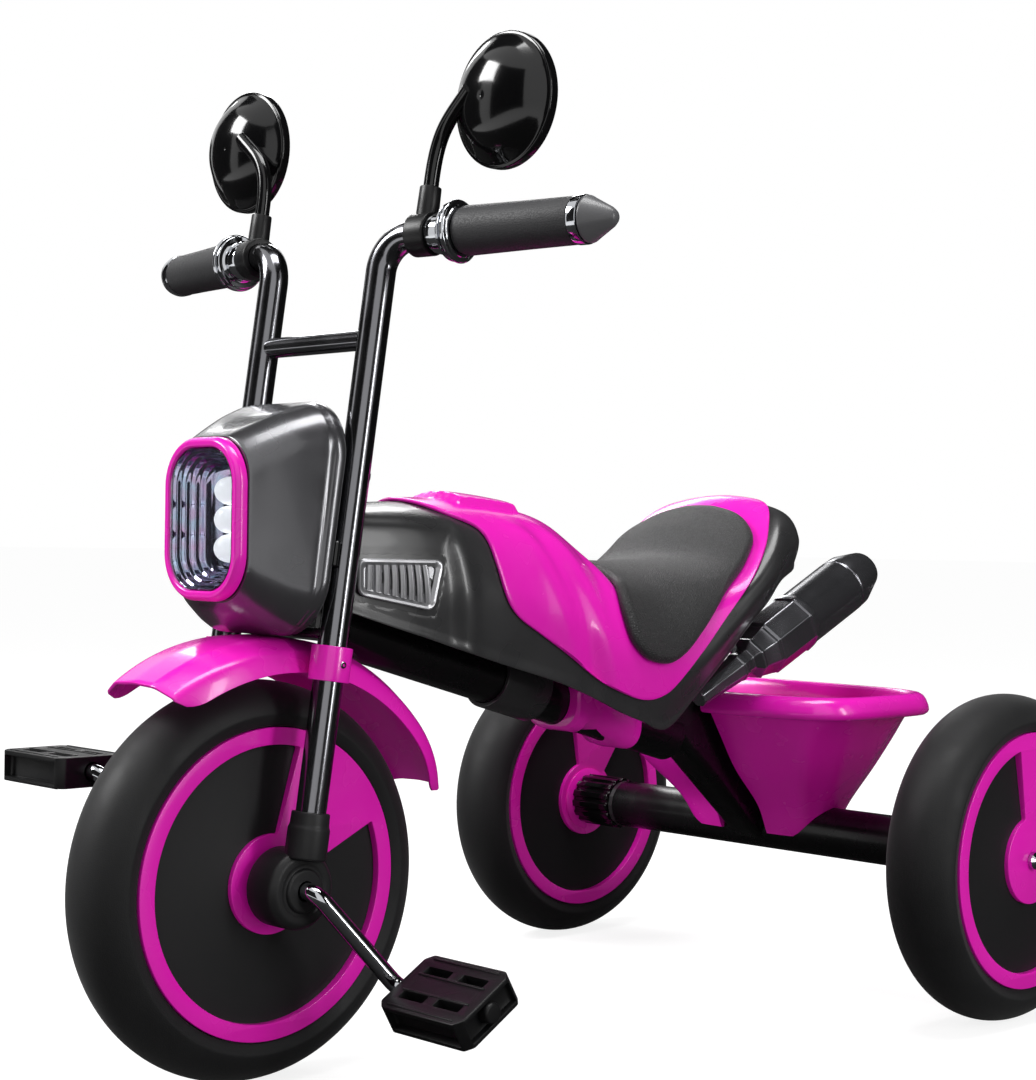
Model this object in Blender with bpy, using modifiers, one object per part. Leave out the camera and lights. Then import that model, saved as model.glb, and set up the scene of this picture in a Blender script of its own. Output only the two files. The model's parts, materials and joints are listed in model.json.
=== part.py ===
"""A child's pedal tricycle styled as a small motorbike.

Everything is placed from the front axle: x to the rider's left, y to the rear, z up from the floor.
The empty tricycle_origin then puts the middle of the tricycle's length at the world's origin.
What steers is modelled along the raked steering axis, under the empty steering_axis.
"""

import math

import bmesh
import bpy
from mathutils import Vector

# Fits
SEAT_GAP = 0.0003
RUNNING_GAP = 0.0008

# Wheels
FRONT_RADIUS = 0.125
REAR_RADIUS = 0.117
WHEELBASE = 0.509
REAR_TRACK = 0.440
TYRE_WIDTH = 0.056
TYRE_DEPTH = 0.0275
REAR_TYRE_DEPTH = 0.0253
DISC_WIDTH = 0.046
TRIM_THICKNESS = 0.003
RING_WIDTH = 0.0115
HUB_RADIUS = 0.031
SLEEVE_RADIUS = 0.0212
SLEEVE_RIBS = 10
RIM_SIDES = 32
# The pink spoke's two edges, as angles from the wheel's rear
FRONT_WEDGE = (math.radians(22), math.radians(76))
REAR_WEDGE = (math.radians(51), math.radians(102))

# Steering axis and fork
RAKE = math.radians(8.4)
LEG_LEAD = 0.020
LEG_SPREAD = 0.110
TUBE_RADIUS = 0.0095
TUBE_WALL = 0.0015
BAR_RISE = 0.4064
BAR_BEND = 0.022
BAR_REACH = 0.1500
BAR_SWEEP = math.radians(10.0)
BAR_LIFT = math.radians(1.5)
LEG_FOOT = 0.030
BRIDGE_RISE = 0.3420
BRIDGE_RADIUS = 0.0066
CROWN_THICKNESS = 0.005
HEAD_FOOT = 0.1613
HEAD_LENGTH = 0.0912
HEAD_RADIUS = 0.017
HEAD_WALL = 0.003
STEM_RADIUS = 0.0085
BUSH_LIP = 0.0015
BUSH_DEPTH = 0.010
CROWN_BOSS = TUBE_RADIUS + 0.0037
CROWN_HUB = 0.018
STEM_PROUD = 0.010
NUT_RADIUS = 0.0135
NUT_HEIGHT = 0.007

# Fork ends
BOOT_TOP = 0.0475
BOOT_RADIUS = 0.0118
BOOT_COLLAR = 0.0130
BOOT_FOOT = 0.019
BOSS_RADIUS = 0.0245
BOSS_INNER = 0.0320
BOSS_OUTER = 0.0580
BOSS_NOSE = 0.0020
NOSE_RADIUS = 0.0135

# Crank and pedals
CRANK_RADIUS = 0.0055
CRANK_THROW = 0.0786
CRANK_ANGLE = math.radians(-51.1)
CRANK_BEND = 0.011
PEDAL_INNER = 0.0995
PEDAL_WIDTH = 0.0726
PEDAL_LENGTH = 0.0500
PEDAL_HEIGHT = 0.0200
PEDAL_PLATE = 0.0030
PEDAL_TILT = math.radians(30.4)
PEDAL_CORE = 0.0165
PEDAL_RIB = 0.0090
PEDAL_SLOT = (0.0220, 0.0065)
PEDAL_RECESS = 0.0060

# Fender
FENDER_RADIUS = 0.151
FENDER_SKIRT_RADIUS = 0.129
FENDER_WIDTH = LEG_SPREAD - 2 * (TUBE_RADIUS + 0.0005)
FENDER_FLAT = 0.046
FENDER_WALL = 0.0022
FENDER_FRONT = math.radians(-33.0)
FENDER_REAR = math.radians(68.0)
CLAMP_FOOT = 0.1275
CLAMP_HEIGHT = 0.0215
CLAMP_RADIUS = 0.0128

# Headlight
LAMP_FRONT = -0.040
LAMP_MIDDLE = 0.3495
LAMP_WIDTH = 0.078
LAMP_HEIGHT = 0.101
LAMP_CORNER = 0.030
BEZEL_WIDTH = 0.0065
BEZEL_DEPTH = 0.008
HOUSING_WIDTH = 0.126
HOUSING_FOOT = 0.2780
HOUSING_TOP = 0.4245
HOUSING_WALL = 0.0022
LENS_THICKNESS = 0.0020
LENS_INSET = 0.0020
REFLECTOR_DEPTH = 0.022
REFLECTOR_WALL = 0.0022
REFLECTOR_STEP = 0.0038
REFLECTOR_STEPS = 3
BOWL_RADIUS = 0.0084
BOWL_DEPTH = 0.0070
BOWL_PITCH = 0.0177

# Grips and mirrors, along each bar from its corner
GRIP_START = 0.0614
GRIP_END = 0.1528
GRIP_RADIUS = 0.0153
GRIP_END_RADIUS = 0.0143
COLLAR_RADIUS = 0.0195
COLLAR_LENGTH = 0.0215
COLLAR_FLARE = 0.003
COLLAR_NECK = 0.012
CAP_LENGTH = 0.020
CAP_NOSE = 0.0035
CAP_BAND = 0.0070
MIRROR_CLAMP_AT = 0.0315
MIRROR_CLAMP_LENGTH = 0.0150
MIRROR_CLAMP_RADIUS = 0.0135
SOCKET_HEIGHT = 0.030
SOCKET_RADIUS = 0.0070
SOCKET_FLOOR = 0.0160
MIRROR_RADIUS = 0.042
MIRROR_DEPTH = 0.025
MIRROR_OUT = 0.1296
MIRROR_BACK = 0.0944
MIRROR_UP = 0.6079
MIRROR_STEM_RADIUS = 0.0048

# Frame
BACKBONE_RADIUS = 0.019
CROWN_CLEARANCE = 0.029
FENDER_CLEARANCE = FENDER_RADIUS + 0.008
FRAME_WALL = 0.0018
BACKBONE_FRONT_Y = 0.060
BACKBONE_REAR_Y = 0.392
BACKBONE_LOW_Z = 0.2529
BACKBONE_LOW_Y = 0.1046
BACKBONE_SLOPE = math.radians(15.4)
STRUT_TOP = (0.376, 0.236)
STRUT_FOOT = (WHEELBASE - 0.0135, 0.1225)
STRUT_TOP_DEPTH = 0.050
STRUT_FOOT_DEPTH = 0.030
STRUT_WIDTH = 0.032
STRUT_CORNER = 0.008
STRUT_SINK = 0.006
AXLE_TUBE_RADIUS = 0.019
AXLE_TUBE_LENGTH = 0.292
AXLE_ROD_RADIUS = 0.005
ROD_CAP_RADIUS = 0.0062
ROD_CAP_HEIGHT = 0.0045
BUSH_FLANGE = 0.004
BUSH_PLUG = 0.014
SLEEVE_Y = 0.226
SLEEVE_LENGTH = 0.044
SLEEVE_WALL = 0.0035
BRACKET_ENDS = (0.268, 0.336)
CHEEK_SIZE = (0.056, 0.052)
CHEEK_RISE = 0.004
DECK_Z = 0.2440
DECK_THICKNESS = 0.008

# Body, seat and trim
SHELL_WALL = 0.0025
COVER_WALL = 0.0025
VENT_WALL = 0.0018
VENT_BORDER = 0.005
VENT_LEAN = 0.10
CAP_Y = 0.179
CAP_SIZE = (0.058, 0.052)
CAP_HEIGHT = 0.0055
# From the ridge down to the hem at the tank cap
BODY_GIRTH = 0.144
EXHAUST_X = 0.066
EXHAUST_FRONT = (0.3516, 0.2270)
EXHAUST_REAR = (0.5476, 0.3207)
EXHAUST_RADIUS = 0.0225
# Share of the silencer's length, then its radius there
EXHAUST_STATIONS = (
    (0.0, 0.0070), (0.10, 0.0085), (0.22, 0.0105), (0.27, 0.0105), (0.29, 0.0165), (0.35, 0.0200),
    (0.37, 0.0222), (0.55, EXHAUST_RADIUS), (0.555, EXHAUST_RADIUS + 0.0012),
    (0.575, EXHAUST_RADIUS + 0.0012), (0.58, EXHAUST_RADIUS), (0.80, EXHAUST_RADIUS + 0.0005),
    (0.90, EXHAUST_RADIUS - 0.0005), (1.0, 0.0150),
)
LUG_SIZE = (0.022, 0.012)
LUG_PLACE = (0.3880, 0.2440)

# Basket
BASKET_WIDTH = 0.282
BASKET_DEPTH = 0.166
BASKET_MIDDLE = WHEELBASE - 0.021
BASKET_RIM = 0.2280
BASKET_LIP = 0.0170
BASKET_WALL = 0.0025
BASKET_FLOOR_WIDTH = 0.124
BASKET_FLOOR_DEPTH = 0.056
BASKET_SKIRT = 0.1130
BASKET_LIP_REACH = 0.015
CHANNEL_FLOOR = 0.0180
CHANNEL_MOUTH = 0.0230
CHANNEL_GAP = 0.001
# Share of the wall's height, then of its growth in width and depth and of its shift, and its flute
BASKET_WAISTS = ((0.402, 0.333, 0.474, 0.409, 0.014), (0.776, 0.692, 0.842, 0.682, 0.012))
LIP_ROLL = 0.004
LIP_EDGE = 0.003
LIP_TOP = 0.008
LIP_MOUTH = 0.0105

# Derived places
FRONT_AXLE_Z = FRONT_RADIUS
REAR_AXLE_Z = REAR_RADIUS
MIDDLE_Y = (WHEELBASE + REAR_RADIUS - FRONT_RADIUS) / 2
LEG_X = LEG_SPREAD / 2
AXIS_Y = LEG_LEAD * math.cos(RAKE)
AXIS_Z = FRONT_AXLE_Z - LEG_LEAD * math.sin(RAKE)
TRIM_FACE = DISC_WIDTH / 2 + SEAT_GAP + TRIM_THICKNESS

# The bracket in front of both legs, and the housing's back that leans against it
BRACKET_THICKNESS = 0.0035
BRACKET_HEIGHT = 0.016
BRACKET_RISE = 0.205
BRACKET_BACK = -LEG_LEAD - TUBE_RADIUS - SEAT_GAP
HOUSING_SEAT = BRACKET_BACK - BRACKET_THICKNESS - SEAT_GAP
HOUSING_BACK_Y = AXIS_Y + (HOUSING_SEAT + (HOUSING_FOOT - AXIS_Z) * math.sin(RAKE)) / math.cos(RAKE)
# Rings of the housing from its mouth to its back: depth at its foot, width, foot, top, corner and lean
HOUSING_RINGS = (
    (LAMP_FRONT + BEZEL_DEPTH + SEAT_GAP, LAMP_WIDTH + 0.001, 0.2985, 0.4005, 0.030, 0.0),
    (-0.0270, 0.0900, 0.2900, 0.4090, 0.030, 0.04),
    (-0.0120, 0.1100, 0.2810, 0.4195, 0.034, 0.09),
    (-0.0010, 0.1240, 0.2775, 0.4240, 0.036, 0.13),
    (HOUSING_BACK_Y - 0.0030, HOUSING_WIDTH, HOUSING_FOOT, HOUSING_TOP, 0.037, math.tan(RAKE)),
    (HOUSING_BACK_Y, HOUSING_WIDTH - 0.003, HOUSING_FOOT, HOUSING_TOP - 0.0030, 0.036, math.tan(RAKE)),
)

# Sections of the body: distance behind the front axle, then top height, then (half width, height)
# of the shoulder, of the widest line and of the hem
BODY_SECTIONS = (
    (0.0500, 0.3590, (0.0330, 0.3520), (0.0435, 0.3260), (0.0430, 0.2930)),
    (0.1000, 0.3635, (0.0430, 0.3510), (0.0560, 0.3180), (0.0540, 0.2760)),
    (0.1600, 0.3640, (0.0480, 0.3470), (0.0640, 0.3080), (0.0600, 0.2580)),
    (0.2100, 0.3590, (0.0490, 0.3410), (0.0690, 0.2960), (0.0650, 0.2440)),
    (0.2350, 0.3545, (0.0490, 0.3300), (0.0705, 0.2860), (0.0670, 0.2350)),
    (0.2530, 0.3470, (0.0490, 0.3180), (0.0720, 0.2760), (0.0690, 0.2275)),
    (0.2680, 0.3340, (0.0500, 0.3120), (0.0730, 0.2680), (0.0700, 0.2210)),
    (0.2850, 0.3180, (0.0530, 0.2980), (0.0740, 0.2570), (0.0715, 0.2150)),
    (0.3100, 0.3130, (0.0570, 0.2930), (0.0760, 0.2500), (0.0730, 0.2080)),
    (0.3400, 0.3135, (0.0620, 0.2980), (0.0800, 0.2600), (0.0750, 0.2310)),
    (0.3700, 0.3150, (0.0660, 0.3050), (0.0830, 0.2820), (0.0765, 0.2570)),
    (0.3950, 0.3230, (0.0680, 0.3170), (0.0845, 0.3020), (0.0765, 0.2790)),
    (0.4200, 0.3480, (0.0670, 0.3400), (0.0835, 0.3220), (0.0740, 0.2965)),
    (0.4400, 0.3680, (0.0620, 0.3590), (0.0780, 0.3370), (0.0700, 0.3120)),
    (0.4560, 0.3740, (0.0560, 0.3650), (0.0740, 0.3440), (0.0690, 0.3210)),
    (0.4860, 0.3640, (0.0330, 0.3590), (0.0460, 0.3480), (0.0420, 0.3330)),
)
# Half outlines on the body's skin, from the ridge at the front to the ridge at the rear: distance
# behind the front axle, then the share of the way from the ridge down to the hem
COVER_OUTLINE = (
    (0.1130, 0.0), (0.1190, 0.13), (0.1280, 0.25), (0.1470, 0.365), (0.1530, 0.555), (0.1590, 0.705),
    (0.1690, 0.780), (0.1880, 0.825), (0.2250, 0.890), (0.2460, 0.915), (0.2700, 0.905), (0.2880, 0.875),
    (0.3050, 0.800), (0.3380, 0.655), (0.3850, 0.500), (0.4290, 0.350), (0.4480, 0.265), (0.4580, 0.150),
    (0.4610, 0.0),
)
PAD_OUTLINE = (
    (0.2700, 0.0), (0.2600, 0.22), (0.2530, 0.38), (0.2550, 0.50), (0.2620, 0.645), (0.2760, 0.675),
    (0.3000, 0.650), (0.3200, 0.605), (0.3400, 0.530), (0.3780, 0.390), (0.4050, 0.335), (0.4190, 0.300),
    (0.4300, 0.200), (0.4340, 0.080), (0.4345, 0.0),
)
# The pad's rounded edge and crown: share of the way out, then height over the cover
PAD_ROLL = (
    (1.0, 0.0010), (0.995, 0.0030), (0.97, 0.0048), (0.90, 0.0066), (0.75, 0.0082), (0.45, 0.0093),
    (0.15, 0.0096),
)
VENT_CORNERS = ((0.0500, 0.3265), (0.1110, 0.3260), (0.1030, 0.2930), (0.0530, 0.3035))
VENT_SLATS = 8
# All the body's pieces share these rows and lines, so that their facets lie parallel
BODY_ROWS = (
    BODY_SECTIONS[0][0], 0.0790, 0.1130, 0.1450, 0.1800, 0.2150, 0.2350, 0.2530, 0.2680, 0.2850,
    0.3000, 0.3200, 0.3450, 0.3700, 0.3950, 0.4100, 0.4250, 0.4400, 0.4560, BODY_SECTIONS[-1][0],
)
BODY_LINES = (0.0, 0.18, 0.34, 0.50, 0.67, 0.84, 1.0)
ACROSS = tuple(-line for line in BODY_LINES[:0:-1]) + BODY_LINES


def collection(name):
    made = bpy.data.collections.new(name)
    bpy.context.scene.collection.children.link(made)
    return made


for old in list(bpy.data.objects):
    bpy.data.objects.remove(old, do_unlink=True)
PARTS = collection("tricycle")
CUTTERS = collection("tricycle_cutters")
CUTTERS.hide_render = True


def paint(name, colour, roughness, metallic=0.0):
    made = bpy.data.materials.new(name)
    made.use_nodes = True
    shader = made.node_tree.nodes["Principled BSDF"]
    shader.inputs["Base Color"].default_value = (*colour, 1.0)
    shader.inputs["Roughness"].default_value = roughness
    shader.inputs["Metallic"].default_value = metallic
    made.diffuse_color = (*colour, 1.0)
    return made


PINK = (0.90, 0.03, 0.45)
BLACK = (0.015, 0.015, 0.016)
CHARCOAL = (0.045, 0.045, 0.047)
GUNMETAL = (0.12, 0.12, 0.125)
CHROME = (0.75, 0.76, 0.78)
FINISHES = {
    "pink plastic": (PINK, 0.3, 0.0),
    "black plastic": (BLACK, 0.35, 0.0),
    "charcoal plastic": (CHARCOAL, 0.45, 0.0),
    "gunmetal paint": (GUNMETAL, 0.3, 0.6),
    "black chrome": (BLACK, 0.15, 0.9),
    "black paint": (BLACK, 0.3, 0.3),
    "chrome": (CHROME, 0.08, 1.0),
    "silver plastic": ((0.45, 0.45, 0.46), 0.35, 0.3),
    "tyre rubber": (CHARCOAL, 0.6, 0.0),
    "grip rubber": (CHARCOAL, 0.7, 0.0),
    "grained vinyl": ((0.03, 0.03, 0.032), 0.6, 0.0),
    "clear plastic": ((0.9, 0.93, 0.95), 0.05, 0.0),
    "mirror": ((0.9, 0.9, 0.92), 0.02, 1.0),
}


def empty(name, parent=None, location=(0, 0, 0), tilt=0.0):
    made = bpy.data.objects.new(name, None)
    PARTS.objects.link(made)
    made.parent = parent
    made.location = location
    made.rotation_euler = (tilt, 0, 0)
    return made


def add(name, mesh, finish, parent, location=(0, 0, 0), rotation=(0, 0, 0)):
    """A named object for a mesh, with a material of its own."""
    made = bpy.data.objects.new(name, mesh)
    PARTS.objects.link(made)
    made.parent = parent
    made.location = location
    made.rotation_euler = rotation
    mesh.name = name
    if finish:
        mesh.materials.clear()
        mesh.materials.append(paint(name + " " + finish, *FINISHES[finish]))
    mesh.shade_smooth()
    mesh.set_sharp_from_angle(angle=math.radians(35))
    return made


def helper(made):
    """Hides a shape that only cuts or joins another."""
    PARTS.objects.unlink(made)
    CUTTERS.objects.link(made)
    made.hide_render = True
    made.display_type = "WIRE"
    return made


def combine(made, other, operation):
    step = made.modifiers.new(other.name, "BOOLEAN")
    step.operation = operation
    step.solver = "EXACT"
    step.object = helper(other) if other.name in PARTS.objects else other
    return made


def cut(made, *others):
    for other in others:
        combine(made, other, "DIFFERENCE")
    return made


def join(made, *others):
    for other in others:
        combine(made, other, "UNION")
    return made


def bevel(made, width, segments=1, angle=30):
    step = made.modifiers.new("edge", "BEVEL")
    step.width = width
    step.segments = segments
    step.limit_method = "ANGLE"
    step.angle_limit = math.radians(angle)
    return made


HELPER_TURN = 0.07
ALONG = {"x": (0, math.pi / 2, 0), "y": (-math.pi / 2, 0, 0), "z": (0, 0, 0)}


def turned(name, profile, finish, parent, location=(0, 0, 0), axis="z", sides=24, loop=False):
    """A profile of (radius, height), outer side from top to bottom, turned about an axis."""
    mesh = bpy.data.meshes.new(name)
    count = len(profile)
    edges = [(i, i + 1) for i in range(count - 1)] + ([(count - 1, 0)] if loop else [])
    # a helper starts at another angle, so that no edge of it meets one of the piece's own edges
    start = 0.0 if finish else HELPER_TURN
    mesh.from_pydata([(r * math.cos(start), r * math.sin(start), h) for r, h in profile], edges, [])
    made = add(name, mesh, finish, parent, location, ALONG[axis])
    screw = made.modifiers.new("turn", "SCREW")
    screw.angle = 2 * math.pi
    screw.steps = screw.render_steps = sides
    screw.use_merge_vertices = True
    screw.merge_threshold = 0.00001
    screw.use_smooth_shade = True
    return made


def rod(name, radius, low, high, finish, parent, location=(0, 0, 0), axis="z", sides=16):
    profile = [(0, high), (radius, high), (radius, low), (0, low)]
    return turned(name, profile, finish, parent, location, axis, sides)


def ring(name, inner, outer, low, high, finish, parent, location=(0, 0, 0), axis="z", sides=24):
    profile = [(inner, high), (outer, high), (outer, low), (inner, low)]
    return turned(name, profile, finish, parent, location, axis, sides, loop=True)


def block(name, size, finish, parent, location=(0, 0, 0), rotation=(0, 0, 0)):
    mesh = bpy.data.meshes.new(name)
    shape = bmesh.new()
    bmesh.ops.create_cube(shape, size=1.0)
    bmesh.ops.scale(shape, vec=Vector(size), verts=shape.verts)
    shape.to_mesh(mesh)
    shape.free()
    return add(name, mesh, finish, parent, location, rotation)


def rounded_path(points, radius, steps=5):
    """The points with each inner corner replaced by an arc."""
    path = [Vector(points[0])]
    for before, corner, after in zip(points, points[1:], points[2:]):
        corner = Vector(corner)
        back = (Vector(before) - corner).normalized()
        ahead = (Vector(after) - corner).normalized()
        half = back.angle(ahead) / 2
        reach = radius / math.tan(half)
        centre = corner + (back + ahead).normalized() * radius / math.sin(half)
        start = (corner + back * reach - centre).normalized()
        end = (corner + ahead * reach - centre).normalized()
        for i in range(steps + 1):
            path.append(centre + start.slerp(end, i / steps) * radius)
    path.append(Vector(points[-1]))
    return path


def curve_mesh(name, curve):
    """The mesh of a curve, with its caps welded to its sides."""
    guide = bpy.data.objects.new(name + " guide", curve)
    PARTS.objects.link(guide)
    graph = bpy.context.evaluated_depsgraph_get()
    mesh = bpy.data.meshes.new_from_object(guide.evaluated_get(graph))
    bpy.data.objects.remove(guide, do_unlink=True)
    shape = bmesh.new()
    shape.from_mesh(mesh)
    bmesh.ops.remove_doubles(shape, verts=shape.verts, dist=0.00001)
    bmesh.ops.recalc_face_normals(shape, faces=shape.faces)
    shape.to_mesh(mesh)
    shape.free()
    return mesh


def tube(name, path, radius, finish, parent, wall=None, roundness=4, radii=None, location=(0, 0, 0)):
    """A round bar along a path, or a pipe open at both ends where a wall is given."""
    curve = bpy.data.curves.new(name, "CURVE")
    curve.dimensions = "3D"
    curve.bevel_depth = radius
    curve.bevel_resolution = roundness
    curve.use_fill_caps = wall is None
    spline = curve.splines.new("POLY")
    spline.points.add(len(path) - 1)
    for i, place in enumerate(path):
        spline.points[i].co = (*place, 1.0)
        spline.points[i].radius = radii[i] / radius if radii else 1.0
    made = add(name, curve_mesh(name, curve), finish, parent, location)
    if wall:
        shell = made.modifiers.new("wall", "SOLIDIFY")
        shell.thickness = wall
        shell.offset = -1
        shell.use_even_offset = True
    return made


def plate(name, loops, thickness, finish, parent, location=(0, 0, 0), rotation=(0, 0, 0)):
    """A flat outline with its holes, given a thickness about its middle."""
    curve = bpy.data.curves.new(name, "CURVE")
    curve.dimensions = "2D"
    curve.fill_mode = "BOTH"
    curve.extrude = thickness / 2
    for loop in loops:
        spline = curve.splines.new("POLY")
        spline.points.add(len(loop) - 1)
        for i, (u, v) in enumerate(loop):
            spline.points[i].co = (u, v, 0, 1)
        spline.use_cyclic_u = True
    return add(name, curve_mesh(name, curve), finish, parent, location, rotation)


def arc(radius, start, end, steps, centre=(0, 0)):
    turn = [start + (end - start) * i / steps for i in range(steps + 1)]
    return [(centre[0] + radius * math.cos(a), centre[1] + radius * math.sin(a)) for a in turn]


def circle(radius, sides, centre=(0, 0)):
    return arc(radius, 0, 2 * math.pi, sides, centre)[:-1]


def rounded_rectangle(width, height, corner, steps=4, centre=(0, 0)):
    half_w, half_h = width / 2 - corner, height / 2 - corner
    outline = []
    for i, (u, v) in enumerate(((half_w, half_h), (-half_w, half_h), (-half_w, -half_h), (half_w, -half_h))):
        outline += arc(corner, i * math.pi / 2, (i + 1) * math.pi / 2, steps, (centre[0] + u, centre[1] + v))
    return outline


def loft(name, rings, finish, parent, location=(0, 0, 0), rotation=(0, 0, 0), closed=True):
    """A skin over rings of equally many points, with flat ends where it is closed."""
    mesh = bpy.data.meshes.new(name)
    shape = bmesh.new()
    loops = [[shape.verts.new(point) for point in points] for points in rings]
    count = len(loops[0])
    for first, second in zip(loops, loops[1:]):
        for i in range(count):
            j = (i + 1) % count
            shape.faces.new((first[i], first[j], second[j], second[i]))
    if closed:
        shape.faces.new(loops[0][::-1])
        shape.faces.new(loops[-1])
    bmesh.ops.recalc_face_normals(shape, faces=shape.faces)
    shape.to_mesh(mesh)
    shape.free()
    return add(name, mesh, finish, parent, location, rotation)


def layer(name, outer, inner, finish, parent, ridge=None):
    """A sheet with a thickness, from its outer and its inner grid of points."""
    mesh = bpy.data.meshes.new(name)
    shape = bmesh.new()
    rows, columns = len(outer), len(outer[0])
    ridge = columns // 2 if ridge is None else ridge
    top = [[shape.verts.new(point) for point in row] for row in outer]
    low = [[shape.verts.new(point) for point in row] for row in inner]
    for i in range(rows - 1):
        for j in range(columns - 1):
            # both grids are split along the same diagonals, mirrored about the middle
            for grid in (top, low):
                a, b, c, d = grid[i][j], grid[i + 1][j], grid[i + 1][j + 1], grid[i][j + 1]
                halves = ((a, b, c), (a, c, d)) if j >= ridge else ((a, b, d), (b, c, d))
                for half in halves:
                    shape.faces.new(half if grid is top else half[::-1])
    border = [(0, j) for j in range(columns - 1)]
    border += [(i, columns - 1) for i in range(rows - 1)]
    border += [(rows - 1, j) for j in range(columns - 1, 0, -1)]
    border += [(i, 0) for i in range(rows - 1, 0, -1)]
    for (i, j), (k, m) in zip(border, border[1:] + border[:1]):
        shape.faces.new((top[i][j], top[k][m], low[k][m], low[i][j]))
    bmesh.ops.remove_doubles(shape, verts=shape.verts, dist=0.00005)
    bmesh.ops.recalc_face_normals(shape, faces=shape.faces)
    shape.to_mesh(mesh)
    shape.free()
    return add(name, mesh, finish, parent)


def blend(points, place):
    """A smooth curve through (place, value) points, where a value is a number."""
    points = list(points)
    if place <= points[0][0]:
        return points[0][1]
    if place >= points[-1][0]:
        return points[-1][1]
    i = max(k for k in range(len(points) - 1) if points[k][0] <= place)
    (x0, y0), (x1, y1) = points[i], points[i + 1]

    def slope(k):
        if k in (0, len(points) - 1):
            k = min(max(k, 1), len(points) - 1)
            return (points[k][1] - points[k - 1][1]) / (points[k][0] - points[k - 1][0])
        return (points[k + 1][1] - points[k - 1][1]) / (points[k + 1][0] - points[k - 1][0])

    s, h = (place - x0) / (x1 - x0), x1 - x0
    rise = (2 * s**3 - 3 * s**2 + 1) * y0 + (3 * s**2 - 2 * s**3) * y1
    return rise + h * ((s**3 - 2 * s**2 + s) * slope(i) + (s**3 - s**2) * slope(i + 1))


def body_point(y, share, offset=0.0):
    """A point of the body's outer skin: share 0 is its ridge, 1 the left hem and -1 the right hem."""

    def on_skin(at_y, at_share):
        def value(pick):
            return blend([(section[0], pick(section)) for section in BODY_SECTIONS], at_y)

        corners = [(0.0, value(lambda s: s[1]))]
        for k in (2, 3, 4):
            corners.append((value(lambda s, k=k: s[k][0]), value(lambda s, k=k: s[k][1])))
        corners = [(-corners[1][0], corners[1][1])] + corners
        corners.append((2 * corners[4][0] - corners[3][0], 2 * corners[4][1] - corners[3][1]))
        along = min(max(abs(at_share), 0.0), 1.0) * 3
        k = min(int(along), 2)
        s = along - k
        weights = (
            (-s + 2 * s**2 - s**3) / 2,
            (2 - 5 * s**2 + 3 * s**3) / 2,
            (s + 4 * s**2 - 3 * s**3) / 2,
            (-(s**2) + s**3) / 2,
        )
        x = sum(w * corners[k + n][0] for n, w in enumerate(weights))
        z = sum(w * corners[k + n][1] for n, w in enumerate(weights))
        front = BODY_SECTIONS[0][0]
        fade = max(0.0, 1 - (at_y - front) / (BODY_SECTIONS[1][0] - front))
        lean = (z - AXIS_Z) * math.tan(RAKE) + AXIS_Y - front
        return Vector((math.copysign(x, at_share), at_y + fade * lean, z))

    spot = on_skin(y, share)
    if not offset:
        return spot
    step = 0.0004
    low_y, high_y = BODY_SECTIONS[0][0], BODY_SECTIONS[-1][0]
    y_before, y_after = max(y - step, low_y), min(y + step, high_y)
    inner = min(max(share, -1 + step), 1 - step)
    along = on_skin(y_after, share) - on_skin(y_before, share)
    across = on_skin(y, inner + step) - on_skin(y, inner - step)
    return spot + along.cross(across).normalized() * -offset


def patch(offset, rows=BODY_ROWS, lines=ACROSS):
    """Points of the body's skin, raised by an offset, where these rows and lines cross."""
    return [[body_point(y, line, offset) for line in lines] for y in rows]


def body_block(name, offset):
    """A thick solid under the body's skin raised by an offset."""
    return layer(name, patch(offset), patch(-0.012), None, ORIGIN)


def soft_loop(outline, count):
    """A smooth closed loop through a half outline and its mirror."""
    path = soft_path([(y, share, 0) for y, share in outline], count)
    half = [(point.x, max(point.y, 0.0)) for point in path]
    return half + [(y, -share) for y, share in half[-2:0:-1]]


def on_skin_rings(loop, steps):
    """Rings on the body's skin, each a share of the way out to the loop and at an offset."""
    middle = (loop[0][0] + loop[len(loop) // 2][0]) / 2
    return [[body_point(middle + (y - middle) * out, share * out, offset) for y, share in loop]
            for out, offset in steps]


def backbone_middle(y):
    """Height of the backbone's centre line."""
    low = BACKBONE_LOW_Z - (y - BACKBONE_LOW_Y) * math.tan(BACKBONE_SLOPE)
    return low + BACKBONE_RADIUS / math.cos(BACKBONE_SLOPE)


ORIGIN = empty("tricycle_origin", None, (0, -MIDDLE_Y, 0))
STEERING = empty("steering_axis", ORIGIN, (0, AXIS_Y, AXIS_Z), -RAKE)


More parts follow.
